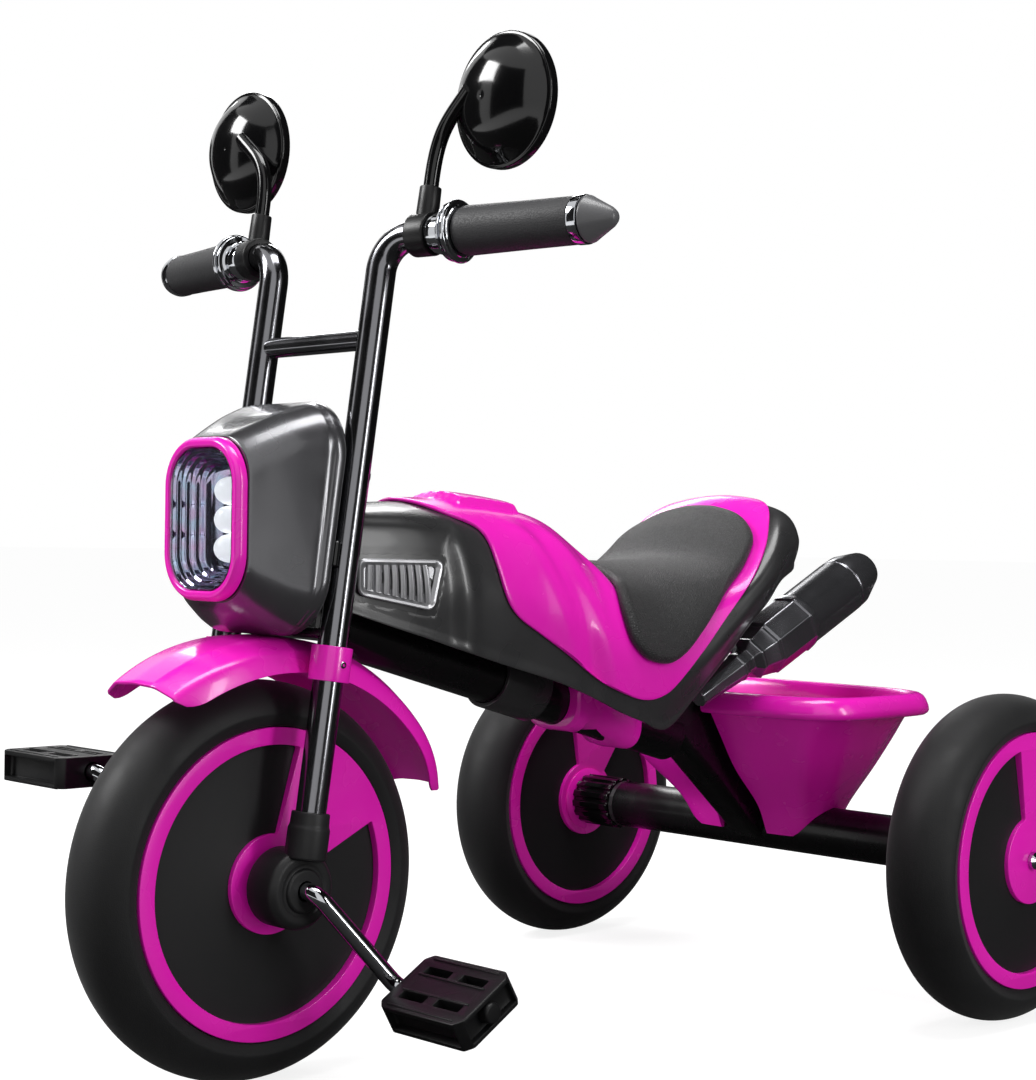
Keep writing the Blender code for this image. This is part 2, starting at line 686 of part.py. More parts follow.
def make_wheel(prefix, radius, depth, parent, wedge, sleeve=0.0, inward=-1):
    """A tyre on its disc, with a pink ring, spoke and hub plate on each face."""
    bore = radius - depth
    half = TYRE_WIDTH / 2
    shoulder = TRIM_FACE - TRIM_THICKNESS / 2
    section = [(bore, shoulder)]
    for i in range(7):
        turn = math.radians(12 + 156 * i / 6)
        section.append((bore + depth * math.sin(turn) ** 0.85, half * math.cos(turn)))
    section.append((bore, -shoulder))
    turned(prefix[0], section, "tyre rubber", parent, axis="x", sides=RIM_SIDES, loop=True)

    disc = bore - SEAT_GAP
    face = DISC_WIDTH / 2
    shaft = CRANK_RADIUS if not sleeve else AXLE_ROD_RADIUS
    hole = shaft + (SEAT_GAP if not sleeve else RUNNING_GAP)
    ring(prefix[1], hole, disc, -face, face, "charcoal plastic", parent, axis="x", sides=RIM_SIDES)

    inner = bore - RING_WIDTH
    for side in (-1, 1):
        name = prefix[2] if side * inward < 0 else prefix[3]
        start, end = wedge
        outline = arc(inner, end, start + 2 * math.pi, 20)
        outline += arc(HUB_RADIUS, start + 2 * math.pi - 0.10, end + 0.10, 9)
        loops = [circle(disc, RIM_SIDES), outline, circle(hole, 12)]
        middle = side * (DISC_WIDTH / 2 + SEAT_GAP + TRIM_THICKNESS / 2)
        # the plate's first axis is the wheel's rear, its second the wheel's top
        turn = (math.pi / 2, 0, math.pi / 2)
        trim = plate(name, loops, TRIM_THICKNESS, "pink plastic", parent, (middle, 0, 0), turn)
        if side * inward > 0 and sleeve:
            low = TRIM_FACE - TRIM_THICKNESS / 2
            join(trim, sleeve_shape(name + " sleeve", hole, low, sleeve, parent, side))


def sleeve_shape(name, hole, low, reach, parent, side):
    """A ribbed spacer from the wheel's inner face to the frame."""
    outline = []
    for i in range(SLEEVE_RIBS):
        for share, radius in ((0.0, SLEEVE_RADIUS), (0.5, SLEEVE_RADIUS), (0.75, SLEEVE_RADIUS - 0.0022)):
            turn = 2 * math.pi * (i + share) / SLEEVE_RIBS
            outline.append((radius * math.cos(turn), radius * math.sin(turn)))
    length = reach - low
    middle = side * (low + length / 2)
    turn = (math.pi / 2, 0, math.pi / 2)
    return plate(name, [outline, circle(hole, 8)], length, None, parent, (middle, 0, 0), turn)


def make_front_wheel():
    axle = empty("front_axle", ORIGIN, (0, 0, FRONT_AXLE_Z))
    names = ("front_tyre", "front_wheel_disc", "front_wheel_trim_left", "front_wheel_trim_right")
    make_wheel(names, FRONT_RADIUS, TYRE_DEPTH, axle, FRONT_WEDGE)

    back = CRANK_THROW * math.cos(CRANK_ANGLE)
    down = CRANK_THROW * math.sin(CRANK_ANGLE)
    start = BOSS_OUTER + BOSS_NOSE + CRANK_BEND * 0.82 + RUNNING_GAP
    bend = PEDAL_INNER - CRANK_BEND * 0.82
    end = PEDAL_INNER + PEDAL_WIDTH - 0.006
    path = [(-end, -back, -down), (-bend, -back, -down), (-start, 0, 0)]
    path += [(start, 0, 0), (bend, back, down), (end, back, down)]
    tube("crank_axle", rounded_path(path, CRANK_BEND, 3), CRANK_RADIUS, "chrome", axle)
    for side, name in ((1, "left"), (-1, "right")):
        make_pedal(name, side, axle, side * back, side * down)


def make_pedal(name, side, axle, y, z):
    middle = side * (PEDAL_INNER + PEDAL_WIDTH / 2)
    seat = empty("pedal_axis_" + name, axle, (middle, y, z), PEDAL_TILT if side > 0 else 0.0)
    outline = rounded_rectangle(PEDAL_WIDTH, PEDAL_LENGTH, 0.005, 3)
    pedal = plate("pedal_" + name, [outline], PEDAL_HEIGHT, "black plastic", seat)
    bevel(pedal, 0.0008, angle=50)
    for u in (-1, 1):
        for v in (-1, 1):
            place = (u * (PEDAL_SLOT[0] + PEDAL_RIB) / 2, v * (PEDAL_CORE + PEDAL_SLOT[1]) / 2, 0)
            cut(pedal, block("pedal slot", (*PEDAL_SLOT, 2 * PEDAL_HEIGHT), None, seat, place))
    recess = (PEDAL_WIDTH * 0.84, 2 * PEDAL_RECESS, PEDAL_HEIGHT - 2 * PEDAL_PLATE)
    for v in (-1, 1):
        cut(pedal, block("pedal recess", recess, None, seat, (0, v * PEDAL_LENGTH / 2, 0)))
    ends = sorted((side * (PEDAL_WIDTH / 2 - 0.004), side * (PEDAL_WIDTH / 2 + 0.0022)))
    join(pedal, rod("pedal cap " + name, 0.0078, *ends, None, seat, axis="x", sides=12))
    bore_end = PEDAL_WIDTH / 2 - 0.005
    ends = sorted((-side * PEDAL_WIDTH, side * bore_end))
    cut(pedal, rod("pedal bore " + name, CRANK_RADIUS + RUNNING_GAP, *ends, None, seat, axis="x", sides=16))


def make_fork():
    """The two bent tubes, each both a fork leg and a handlebar end, and what ties them."""
    for side, name in ((1, "left"), (-1, "right")):
        ends = (along_bar(side, 0.0)[0], along_bar(side, BAR_REACH)[0])
        path = rounded_path([(side * LEG_X, -LEG_LEAD, LEG_FOOT), *ends], BAR_BEND, 6)
        tube("fork_bar_" + name, path, TUBE_RADIUS, "black chrome", STEERING, TUBE_WALL, 4)

    bridge = tube("handlebar_bridge", [(-LEG_X, -LEG_LEAD, BRIDGE_RISE), (LEG_X, -LEG_LEAD, BRIDGE_RISE)],
                  BRIDGE_RADIUS, "black chrome", STEERING)
    for side, name in ((1, "left"), (-1, "right")):
        ends = (BRIDGE_RISE - 3 * BRIDGE_RADIUS, BRIDGE_RISE + 3 * BRIDGE_RADIUS)
        cut(bridge, rod("bridge notch " + name, TUBE_RADIUS + SEAT_GAP, *ends, None, STEERING,
                        (side * LEG_X, -LEG_LEAD, 0), sides=24))

    head_top = HEAD_FOOT + HEAD_LENGTH
    upper = head_top + BUSH_LIP + SEAT_GAP * 2
    lower = HEAD_FOOT - BUSH_LIP - SEAT_GAP * 2 - CROWN_THICKNESS
    make_crown("fork_crown_upper", upper)
    crown = make_crown("fork_crown_lower", lower)
    crown.modifiers.remove(crown.modifiers["fork_crown_lower bore"])
    stem_top = upper + CROWN_THICKNESS + STEM_PROUD
    join(crown, rod("stem", STEM_RADIUS, lower + CROWN_THICKNESS / 2, stem_top, None, STEERING, sides=16))
    nut = plate("steering_stem_nut", [circle(NUT_RADIUS, 6), circle(STEM_RADIUS + SEAT_GAP, 16)], NUT_HEIGHT,
                "chrome", STEERING, (0, 0, upper + CROWN_THICKNESS + SEAT_GAP + NUT_HEIGHT / 2))
    bevel(nut, 0.0006, angle=50)


def make_crown(name, foot):
    """A flat yoke that clamps both legs and turns about the steering axis."""
    outline = []
    lean = math.atan2(LEG_LEAD, LEG_X)
    steps = 6
    outline += arc(CROWN_BOSS, -math.pi / 2, math.pi / 2 - lean, steps, (LEG_X, -LEG_LEAD))
    outline += arc(CROWN_HUB, math.pi / 2 - lean, math.pi / 2 + lean, 3)
    outline += arc(CROWN_BOSS, math.pi / 2 + lean, 3 * math.pi / 2, steps, (-LEG_X, -LEG_LEAD))
    holes = [circle(TUBE_RADIUS + SEAT_GAP, 16, (side * LEG_X, -LEG_LEAD)) for side in (-1, 1)]
    made = plate(name, [outline] + holes, CROWN_THICKNESS, "black paint", STEERING,
                 (0, 0, foot + CROWN_THICKNESS / 2))
    cut(made, rod(name + " bore", STEM_RADIUS + SEAT_GAP, foot - 0.01, foot + CROWN_THICKNESS + 0.01,
                  None, STEERING, sides=16))
    return made


def make_fork_ends():
    """A plastic boot on each leg, with the boss that the crank turns in."""
    for side, name in ((1, "left"), (-1, "right")):
        middle = (BOSS_INNER + BOSS_OUTER) / 2
        profile = [(0, BOOT_TOP), (BOOT_RADIUS, BOOT_TOP), (BOOT_RADIUS, BOOT_TOP - 0.006),
                   (BOOT_COLLAR, BOOT_TOP - 0.007), (BOOT_COLLAR, BOOT_FOOT), (0, BOOT_FOOT - 0.002)]
        leg = (side * LEG_X, -LEG_LEAD, 0)
        hub = (side * middle, -LEG_LEAD, 0)
        boot = turned("fork_end_" + name, profile, "charcoal plastic", STEERING, leg, sides=16)
        half = (BOSS_OUTER - BOSS_INNER) / 2
        steps = [(0, half + BOSS_NOSE), (NOSE_RADIUS - 0.001, half + BOSS_NOSE),
                 (NOSE_RADIUS, half + BOSS_NOSE - 0.001), (NOSE_RADIUS, half), (BOSS_RADIUS - 0.003, half),
                 (BOSS_RADIUS, half - 0.003), (BOSS_RADIUS, -half), (0, -half)]
        if side < 0:
            steps = [(r, -h) for r, h in reversed(steps)]
        join(boot, turned("boss " + name, steps, None, STEERING, hub, axis="x", sides=18))
        leg_end = LEG_FOOT - SEAT_GAP
        cut(boot,
            rod("leg socket " + name, TUBE_RADIUS + SEAT_GAP, leg_end, 2 * BOOT_TOP, None, STEERING, leg,
                sides=16),
            rod("crank bore " + name, CRANK_RADIUS + RUNNING_GAP, -BOSS_OUTER, BOSS_OUTER, None, STEERING,
                hub, axis="x", sides=12))


def make_fender():
    """The front fender: a flat crown with sloping sides, and a clamp round each leg."""
    half, flat = FENDER_WIDTH / 2, FENDER_FLAT / 2
    drop = FENDER_RADIUS - FENDER_SKIRT_RADIUS
    outer, inner = [], []
    count = 13
    for i in range(count):
        share = i / (count - 1)
        turn = FENDER_FRONT + (FENDER_REAR - FENDER_FRONT) * share
        # the sides taper away towards both ends
        taper = 1 - 0.35 * max(0.0, 1 - share / 0.25) ** 2 - 0.25 * max(0.0, (share - 0.8) / 0.2) ** 2
        edge, knee, brow = -half * taper, -half * 0.86 * taper, -flat * taper
        section = [(edge, drop), (knee, drop * 0.42), (brow, 0.0015), (0, 0)]
        section += [(-x, d) for x, d in section[-2::-1]]
        wall = [(edge + FENDER_WALL * 1.1, drop), (knee + FENDER_WALL, drop * 0.42 + 0.001),
                (brow + 0.0008, 0.0015 + FENDER_WALL), (0, FENDER_WALL)]
        wall += [(-x, d) for x, d in wall[-2::-1]]
        for rows, shape in ((outer, section), (inner, wall)):
            rows.append([
                (x, -LEG_LEAD + (FENDER_RADIUS - d) * math.sin(turn + RAKE),
                 (FENDER_RADIUS - d) * math.cos(turn + RAKE))
                for x, d in shape
            ])
    fender = layer("front_fender", outer, inner, "pink plastic", STEERING)
    for side, name in ((1, "left"), (-1, "right")):
        join(fender, ring("fender clamp " + name, TUBE_RADIUS + SEAT_GAP, CLAMP_RADIUS, CLAMP_FOOT,
                          CLAMP_FOOT + CLAMP_HEIGHT, None, STEERING, (side * LEG_X, -LEG_LEAD, 0), sides=20))


def make_headlight():
    """A gunmetal housing, a pink bezel, a stepped reflector with three lamps and a clear lens."""
    lamp = empty("headlight_aim", STEERING, (0, 0, 0), RAKE)
    upright = (0, -AXIS_Y, -AXIS_Z)
    base = empty("headlight_frame", lamp, upright)

    def rings(wall):
        made = []
        for depth, width, foot, top, corner, lean in HOUSING_RINGS:
            half, middle = (top - foot) / 2, (top + foot) / 2
            outline = rounded_rectangle(width - 2 * wall, 2 * (half - wall), corner - wall, 4)
            made.append([(x, depth + lean * (z + half), z + middle) for x, z in outline])
        return made

    housing = loft("headlight_housing", rings(0.0), "gunmetal paint", base)
    hollow = rings(HOUSING_WALL)
    hollow[-1] = [(x, y - HOUSING_WALL, z) for x, y, z in hollow[-1]]
    mouth = [(x, y - HOUSING_WALL, z) for x, y, z in hollow[0]]
    cut(housing, loft("housing hollow", [mouth] + hollow, None, base))

    turn = (math.pi / 2, 0, 0)
    middle = (0, LAMP_FRONT + BEZEL_DEPTH / 2, LAMP_MIDDLE)
    loops = [lamp_outline(0.0), lamp_outline(BEZEL_WIDTH)]
    bezel = plate("headlight_bezel", loops, BEZEL_DEPTH, "pink plastic", base, middle, turn)
    bevel(bezel, 0.0012, angle=50)

    gap = BEZEL_WIDTH + SEAT_GAP
    plate("headlight_lens", [lamp_outline(gap)], LENS_THICKNESS, "clear plastic", base,
          (0, LAMP_FRONT + LENS_INSET, LAMP_MIDDLE), turn)
    make_reflector(base, gap)

    bracket = block("headlight_bracket", (LEG_SPREAD + BRACKET_HEIGHT, BRACKET_THICKNESS, BRACKET_HEIGHT),
                    "black paint", STEERING, (0, BRACKET_BACK - BRACKET_THICKNESS / 2, BRACKET_RISE))
    bevel(bracket, 0.001)


def lamp_outline(inset):
    """The lamp's outline, drawn in by an inset."""
    return rounded_rectangle(LAMP_WIDTH - 2 * inset, LAMP_HEIGHT - 2 * inset, LAMP_CORNER - inset)


def make_reflector(base, gap):
    """A stepped bowl behind the lens, with a column of three lamp bowls let into its floor."""
    front = LAMP_FRONT + LENS_INSET + LENS_THICKNESS / 2 + SEAT_GAP
    back = front + REFLECTOR_DEPTH
    floor = back - BOWL_DEPTH - REFLECTOR_WALL

    def ring_at(depth, inset):
        return [(x, depth, z + LAMP_MIDDLE) for x, z in lamp_outline(gap + inset)]

    body = [ring_at(front, 0), ring_at(front + REFLECTOR_DEPTH / 4, 0), ring_at(back, 1.5 * REFLECTOR_STEP)]
    reflector = loft("headlight_reflector", body, "chrome", base)
    inner = [ring_at(front - REFLECTOR_WALL, 0)]
    tread = (floor - front) / (REFLECTOR_STEPS + 1)
    for i in range(REFLECTOR_STEPS + 1):
        inner.append(ring_at(front + tread * i, REFLECTOR_STEP * i))
        inner.append(ring_at(front + tread * (i + 0.8), REFLECTOR_STEP * i))
    cut(reflector, loft("reflector bowl", inner, None, base))
    for i in (-1, 0, 1):
        profile = [(0, floor + BOWL_DEPTH), (BOWL_RADIUS * 0.55, floor + BOWL_DEPTH * 0.85),
                   (BOWL_RADIUS * 0.9, floor + BOWL_DEPTH * 0.4), (BOWL_RADIUS, floor - REFLECTOR_WALL / 2),
                   (0, floor - REFLECTOR_WALL / 2)]
        place = (0, 0, LAMP_MIDDLE + i * BOWL_PITCH)
        cut(reflector, turned("lamp bowl", profile, None, base, place, axis="y", sides=16))


def along_bar(side, reach):
    """A point of the handlebar's centre line, at a distance along it from its corner, and its direction."""
    out = Vector((side * math.cos(BAR_SWEEP), math.sin(BAR_SWEEP), math.tan(BAR_LIFT))).normalized()
    return Vector((side * LEG_X, -LEG_LEAD, BAR_RISE)) + out * reach, out


def on_bar(name, profile, finish, side, reach, sides=16, loop=False):
    """A turned piece on the handlebar, its height measured outward from a place on the bar."""
    place, out = along_bar(side, reach)
    made = turned(name, profile, finish, STEERING, place, sides=sides, loop=loop)
    made.rotation_euler = out.to_track_quat("Z", "Y").to_euler()
    return made


def make_controls():
    for side, name in ((1, "left"), (-1, "right")):
        bore = TUBE_RADIUS + SEAT_GAP
        length = GRIP_END - GRIP_START
        grip = [(bore, length), (GRIP_END_RADIUS, length), (GRIP_END_RADIUS + 0.0003, length * 0.6)]
        grip += [(GRIP_RADIUS, 0.004), (GRIP_RADIUS - 0.0015, 0.0), (bore, 0.0)]
        on_bar("grip_" + name, grip, "grip rubber", side, GRIP_START, loop=True)

        flange = COLLAR_RADIUS - COLLAR_FLARE
        collar = [(bore, COLLAR_LENGTH), (flange, COLLAR_LENGTH), (COLLAR_RADIUS, COLLAR_LENGTH - 0.001),
                  (COLLAR_RADIUS, COLLAR_LENGTH - 0.003), (flange, COLLAR_LENGTH - 0.0045),
                  (COLLAR_NECK + 0.0013, 0.006), (COLLAR_NECK, 0.0), (bore, 0.0)]
        start = GRIP_START - COLLAR_LENGTH - SEAT_GAP
        on_bar("grip_collar_" + name, collar, "chrome", side, start, loop=True)

        tip = GRIP_END_RADIUS
        cap = [(0, CAP_LENGTH), (CAP_NOSE, CAP_LENGTH - 0.0010), (tip * 0.63, CAP_LENGTH * 0.55),
               (tip - 0.0015, CAP_BAND + 0.0015), (tip, CAP_BAND), (tip, 0.0), (0, 0.0)]
        on_bar("grip_cap_" + name, cap, "charcoal plastic", side, GRIP_END + SEAT_GAP)
        make_mirror(name, side)


def make_mirror(name, side):
    """A clamp on the bar with a socket, the stem that turns in it and the round mirror head."""
    place, out = along_bar(side, MIRROR_CLAMP_AT)
    half = MIRROR_CLAMP_LENGTH / 2
    profile = [(0, half), (MIRROR_CLAMP_RADIUS - 0.001, half), (MIRROR_CLAMP_RADIUS, half - 0.001),
               (MIRROR_CLAMP_RADIUS, -half + 0.001), (MIRROR_CLAMP_RADIUS - 0.001, -half), (0, -half)]
    clamp = on_bar("mirror_clamp_" + name, profile, "black plastic", side, MIRROR_CLAMP_AT)
    join(clamp, rod("socket " + name, SOCKET_RADIUS, 0.0, SOCKET_HEIGHT, None, STEERING, place, sides=14))
    fit = TUBE_RADIUS + SEAT_GAP
    reach = 2 * MIRROR_CLAMP_LENGTH
    bore = [(0, reach), (fit, reach), (fit, -reach), (0, -reach)]
    cut(clamp,
        on_bar("clamp bore " + name, bore, None, side, MIRROR_CLAMP_AT),
        rod("stem bore " + name, MIRROR_STEM_RADIUS + RUNNING_GAP, SOCKET_FLOOR, 2 * SOCKET_HEIGHT, None,
            STEERING, place, sides=14))

    pivot = empty("mirror_pivot_" + name, STEERING, place)
    cos, sin = math.cos(RAKE), math.sin(RAKE)
    back, up = MIRROR_BACK - AXIS_Y, MIRROR_UP - AXIS_Z
    head = Vector((side * MIRROR_OUT, back * cos - up * sin, back * sin + up * cos)) - place
    facing = Vector((0, cos, sin))
    upward = Vector((0, -sin, cos))
    join_at = head - facing * (MIRROR_DEPTH - 0.003) + Vector((-side * 0.014, 0, 0)) + upward * 0.006
    knee = Vector((-side * 0.001, -0.006, 0.062))
    bend = Vector((side * 0.004, -0.012, 0.082))
    path = [Vector((0, 0, SOCKET_FLOOR + SEAT_GAP))]
    path += soft_path([Vector((0, 0, SOCKET_HEIGHT + 0.003)), knee, bend, join_at], 9)
    stem = tube("mirror stem " + name, path, MIRROR_STEM_RADIUS, None, pivot, roundness=2)
    aim = empty("mirror_aim_" + name, pivot, head, RAKE)
    rim = MIRROR_RADIUS
    depth = MIRROR_DEPTH
    shell = [(rim - 0.0030, 0.0), (rim - 0.0008, 0.0), (rim, -0.001), (rim, -0.0035),
             (rim - 0.0045, -0.0085), (rim * 0.72, -depth * 0.66), (rim * 0.40, -depth * 0.91), (0, -depth),
             (0, -depth + 0.0025), (rim * 0.70, -depth * 0.62 + 0.0025), (rim - 0.0065, -0.0075),
             (rim - 0.0030, -0.0040)]
    shell = turned("mirror_housing_" + name, shell, "black plastic", aim, axis="y", sides=20, loop=True)
    join(shell, stem)
    glass = [(0, -0.0008), (rim - 0.0034, -0.0008), (rim - 0.0034, -0.0030), (0, -0.0030)]
    turned("mirror_glass_" + name, glass, "mirror", aim, axis="y", sides=20)


def soft_path(points, count):
    """A smooth line through a few points, straight at both ends."""
    points = [Vector(p) for p in points]
    padded = [2 * points[0] - points[1]] + points + [2 * points[-1] - points[-2]]
    path = []
    for i in range(count + 1):
        along = (len(points) - 1) * i / count
        k = min(int(along), len(points) - 2)
        s = along - k
        a, b, c, d = padded[k:k + 4]
        bend, twist = 2 * a - 5 * b + 4 * c - d, 3 * b - a - 3 * c + d
        path.append((2 * b + (c - a) * s + bend * s**2 + twist * s**3) / 2)
    return path


def make_frame():
    head_top = HEAD_FOOT + HEAD_LENGTH
    ring("head_tube", HEAD_RADIUS - HEAD_WALL, HEAD_RADIUS, HEAD_FOOT, head_top, "black paint", STEERING)
    for name, foot, flip in (("head_bush_lower", HEAD_FOOT, -1), ("head_bush_upper", head_top, 1)):
        inner, outer = STEM_RADIUS + RUNNING_GAP, HEAD_RADIUS - HEAD_WALL - SEAT_GAP
        profile = [(inner, BUSH_LIP), (HEAD_RADIUS, BUSH_LIP), (HEAD_RADIUS, SEAT_GAP), (outer, SEAT_GAP),
                   (outer, -BUSH_DEPTH), (inner, -BUSH_DEPTH)]
        if flip < 0:
            profile = [(r, -h) for r, h in reversed(profile)]
        turned(name, profile, "charcoal plastic", STEERING, (0, 0, foot), sides=16, loop=True)

    ends = (BACKBONE_FRONT_Y, BACKBONE_REAR_Y)
    path = [(0, y, backbone_middle(y)) for y in ends]
    backbone = tube("backbone_tube", path, BACKBONE_RADIUS, "black paint", ORIGIN, FRAME_WALL, 6)
    cut(backbone,
        rod("head clearance", HEAD_RADIUS + SEAT_GAP, 0.0, head_top + 0.05, None, STEERING, sides=24),
        rod("crown clearance", CROWN_CLEARANCE, 0.0, HEAD_FOOT, None, STEERING, sides=24),
        rod("fender clearance", FENDER_CLEARANCE, -LEG_X, LEG_X, None, ORIGIN, (0, 0, FRONT_AXLE_Z),
            axis="x", sides=96))
    strut = make_strut("rear_strut", 0.0, "black paint")
    cut(strut, rod("axle saddle", AXLE_TUBE_RADIUS + SEAT_GAP, -0.05, 0.05, None, ORIGIN,
                   (0, WHEELBASE, REAR_AXLE_Z), axis="x", sides=32))
    cut(backbone, make_strut("strut clearance", SEAT_GAP, None))
    ends = (-AXLE_TUBE_LENGTH / 2, AXLE_TUBE_LENGTH / 2)
    path = [(x, WHEELBASE, REAR_AXLE_Z) for x in ends]
    tube("rear_axle_tube", path, AXLE_TUBE_RADIUS, "black paint", ORIGIN, FRAME_WALL, 8)

    sleeve = ring("backbone_sleeve", BACKBONE_RADIUS + SEAT_GAP, BACKBONE_RADIUS + SLEEVE_WALL,
                  -SLEEVE_LENGTH / 2, SLEEVE_LENGTH / 2, "charcoal plastic", ORIGIN,
                  (0, SLEEVE_Y, backbone_middle(SLEEVE_Y)))
    sleeve.rotation_euler = (math.pi / 2 - BACKBONE_SLOPE + math.pi, 0, 0)
    make_seat_bracket()


def strut_ends():
    """The middle and depth of the strut's end sections, and the direction of that depth."""
    top, foot = Vector((0, *STRUT_TOP)), Vector((0, *STRUT_FOOT))
    along = (foot - top).normalized()
    square = Vector((0, -along.z, along.y))
    return ((top, STRUT_TOP_DEPTH), (foot + along * STRUT_SINK, STRUT_FOOT_DEPTH)), square


def make_strut(name, grow, finish):
    """The tapered box strut from under the seat down to the axle tube."""
    ends, square = strut_ends()
    rings = []
    for place, depth in ends:
        outline = rounded_rectangle(STRUT_WIDTH + 2 * grow, depth + 2 * grow, STRUT_CORNER, 3)
        rings.append([place + Vector((u, 0, 0)) + square * v for u, v in outline])
    return loft(name, rings, finish, ORIGIN)


def make_seat_bracket():
    """The pink clamp under the seat: cheeks round the backbone and a deck inside the body."""
    low, high = BRACKET_ENDS
    y = (low + high) / 2
    cheeks = block("seat_bracket", (CHEEK_SIZE[0], high - low, CHEEK_SIZE[1]), "pink plastic", ORIGIN,
                   (0, y, backbone_middle(y) + CHEEK_RISE))
    width = 2 * (min(body_side_x(a, DECK_Z) for a in (low, y, high)) - SHELL_WALL - 2 * SEAT_GAP)
    size = (width, high - low - 1.5 * DECK_THICKNESS, DECK_THICKNESS)
    join(cheeks, block("bracket deck", size, None, ORIGIN, (0, y, DECK_Z)))
    path = [(0, a, backbone_middle(a)) for a in (BACKBONE_FRONT_Y, WHEELBASE)]
    cut(cheeks, tube("bracket bore", path, BACKBONE_RADIUS + SEAT_GAP, None, ORIGIN, None, 6))
    cut(cheeks, make_strut("bracket strut clearance", SEAT_GAP, None))


def body_side_x(y, z):
    """Half the body's width where its skin passes a height, below its shoulder."""
    spots = [body_point(y, 0.4 + 0.01 * k) for k in range(61)]
    return min(spots, key=lambda spot: abs(spot.z - z)).x


def make_body():
    """The shell, the cover clipped to its outline with the tank cap on it, the pad and the vents."""
    shell = layer("body_shell", patch(0.0), patch(-SHELL_WALL), "charcoal plastic", ORIGIN)
    outside = SEAT_GAP + COVER_WALL
    cover = layer("body_cover", patch(outside), patch(SEAT_GAP), "pink plastic", ORIGIN)
    loop = soft_loop(COVER_OUTLINE, 28)
    shares = (0.15, 0.3, 0.45, 0.6, 0.75, 0.9, 1.0)
    steps = [(out, -0.010) for out in shares] + [(out, 0.016) for out in shares[::-1]]
    combine(cover, loft("cover outline", on_skin_rings(loop, steps), None, ORIGIN), "INTERSECT")
    cap = make_tank_cap()
    cut(cap, body_block("cap clearance", SEAT_GAP + COVER_WALL / 2))
    join(cover, cap)
    for made in (shell, cover):
        ends = (HEAD_FOOT, HEAD_FOOT + 1.2 * HEAD_LENGTH)
        cut(made, rod("head tube notch", HEAD_RADIUS + 2 * SEAT_GAP, *ends, None, STEERING, sides=24))

    loop = soft_loop(PAD_OUTLINE, 20)
    base = outside + SEAT_GAP
    steps = [(out, base - 0.003) for out in (0.2, 0.4, 0.6, 0.8, 0.99)]
    steps += [(out, base + height) for out, height in PAD_ROLL]
    pad = loft("seat_pad", on_skin_rings(loop, steps), "grained vinyl", ORIGIN)
    cut(pad, body_block("pad clearance", base))
    for side, name in ((1, "left"), (-1, "right")):
        make_vent(name, side)


def make_tank_cap():
    """A low raised lid moulded on top of the cover."""
    base = SEAT_GAP + COVER_WALL
    rings = []
    for height, shrink in ((-0.0020, 0.0), (0.0035, 0.001), (CAP_HEIGHT, 0.0045)):
        outline = rounded_rectangle(CAP_SIZE[0] - 2 * shrink, CAP_SIZE[1] - 2 * shrink, 0.010, 3)
        rings.append([body_point(CAP_Y + u, v / BODY_GIRTH, base + height) for u, v in outline])
    return loft("tank cap", rings, None, ORIGIN)


def make_vent(name, side):
    """A trapezoid grille of slanted slats on each flank of the tank."""
    rows = BODY_ROWS[:3]
    lines = BODY_LINES[-4:] if side > 0 else ACROSS[:4]
    grids = [patch(offset, rows, lines) for offset in (SEAT_GAP + VENT_WALL, SEAT_GAP)]
    vent = layer("vent_grille_" + name, *grids, "silver plastic", ORIGIN, 0 if side > 0 else len(lines))
    depth = 2 * BODY_SECTIONS[1][3][0]
    turn = (math.pi / 2, 0, math.pi / 2)
    place = (side * depth / 2, 0, 0)
    outline = plate("vent outline " + name, [VENT_CORNERS], depth, None, ORIGIN, place, turn)
    combine(vent, outline, "INTERSECT")
    top, (rear, low_rear), (front, low_front) = VENT_CORNERS[0][1], VENT_CORNERS[2], VENT_CORNERS[3]
    pitch = (rear - front - 2 * VENT_BORDER) / VENT_SLATS
    for i in range(VENT_SLATS):
        low = low_front + (low_rear - low_front) * (i + 0.5) / VENT_SLATS + VENT_BORDER
        height = top - VENT_BORDER - low
        place = (side * depth / 2, front + VENT_BORDER + pitch * (i + 0.5), low + height / 2)
        cut(vent, block("vent slot", (depth, pitch / 2, height), None, ORIGIN, place, (VENT_LEAN, 0, 0)))


def make_exhausts():
    """A faceted silencer each side behind the seat, with its thin front pipe."""
    front, rear = Vector((0, *EXHAUST_FRONT)), Vector((0, *EXHAUST_REAR))
    along = (rear - front).normalized()
    square = Vector((0, -along.z, along.y))
    length = (rear - front).length
    for side, name in ((1, "left"), (-1, "right")):
        rings = []
        for share, radius in EXHAUST_STATIONS:
            place = front + along * length * share + Vector((side * EXHAUST_X, 0, 0))
            rings.append([place + Vector((radius * math.cos(a), 0, 0)) + square * radius * math.sin(a)
                          for a in [math.pi / 8 + math.pi / 4 * i for i in range(8)]])
        made = loft("exhaust_" + name, rings, "black chrome", ORIGIN)
        inner = STRUT_WIDTH / 2 + SEAT_GAP
        lug = (EXHAUST_X - inner, *LUG_SIZE)
        place = (side * (inner + lug[0] / 2), *LUG_PLACE)
        join(made, block("exhaust lug " + name, lug, None, ORIGIN, place))


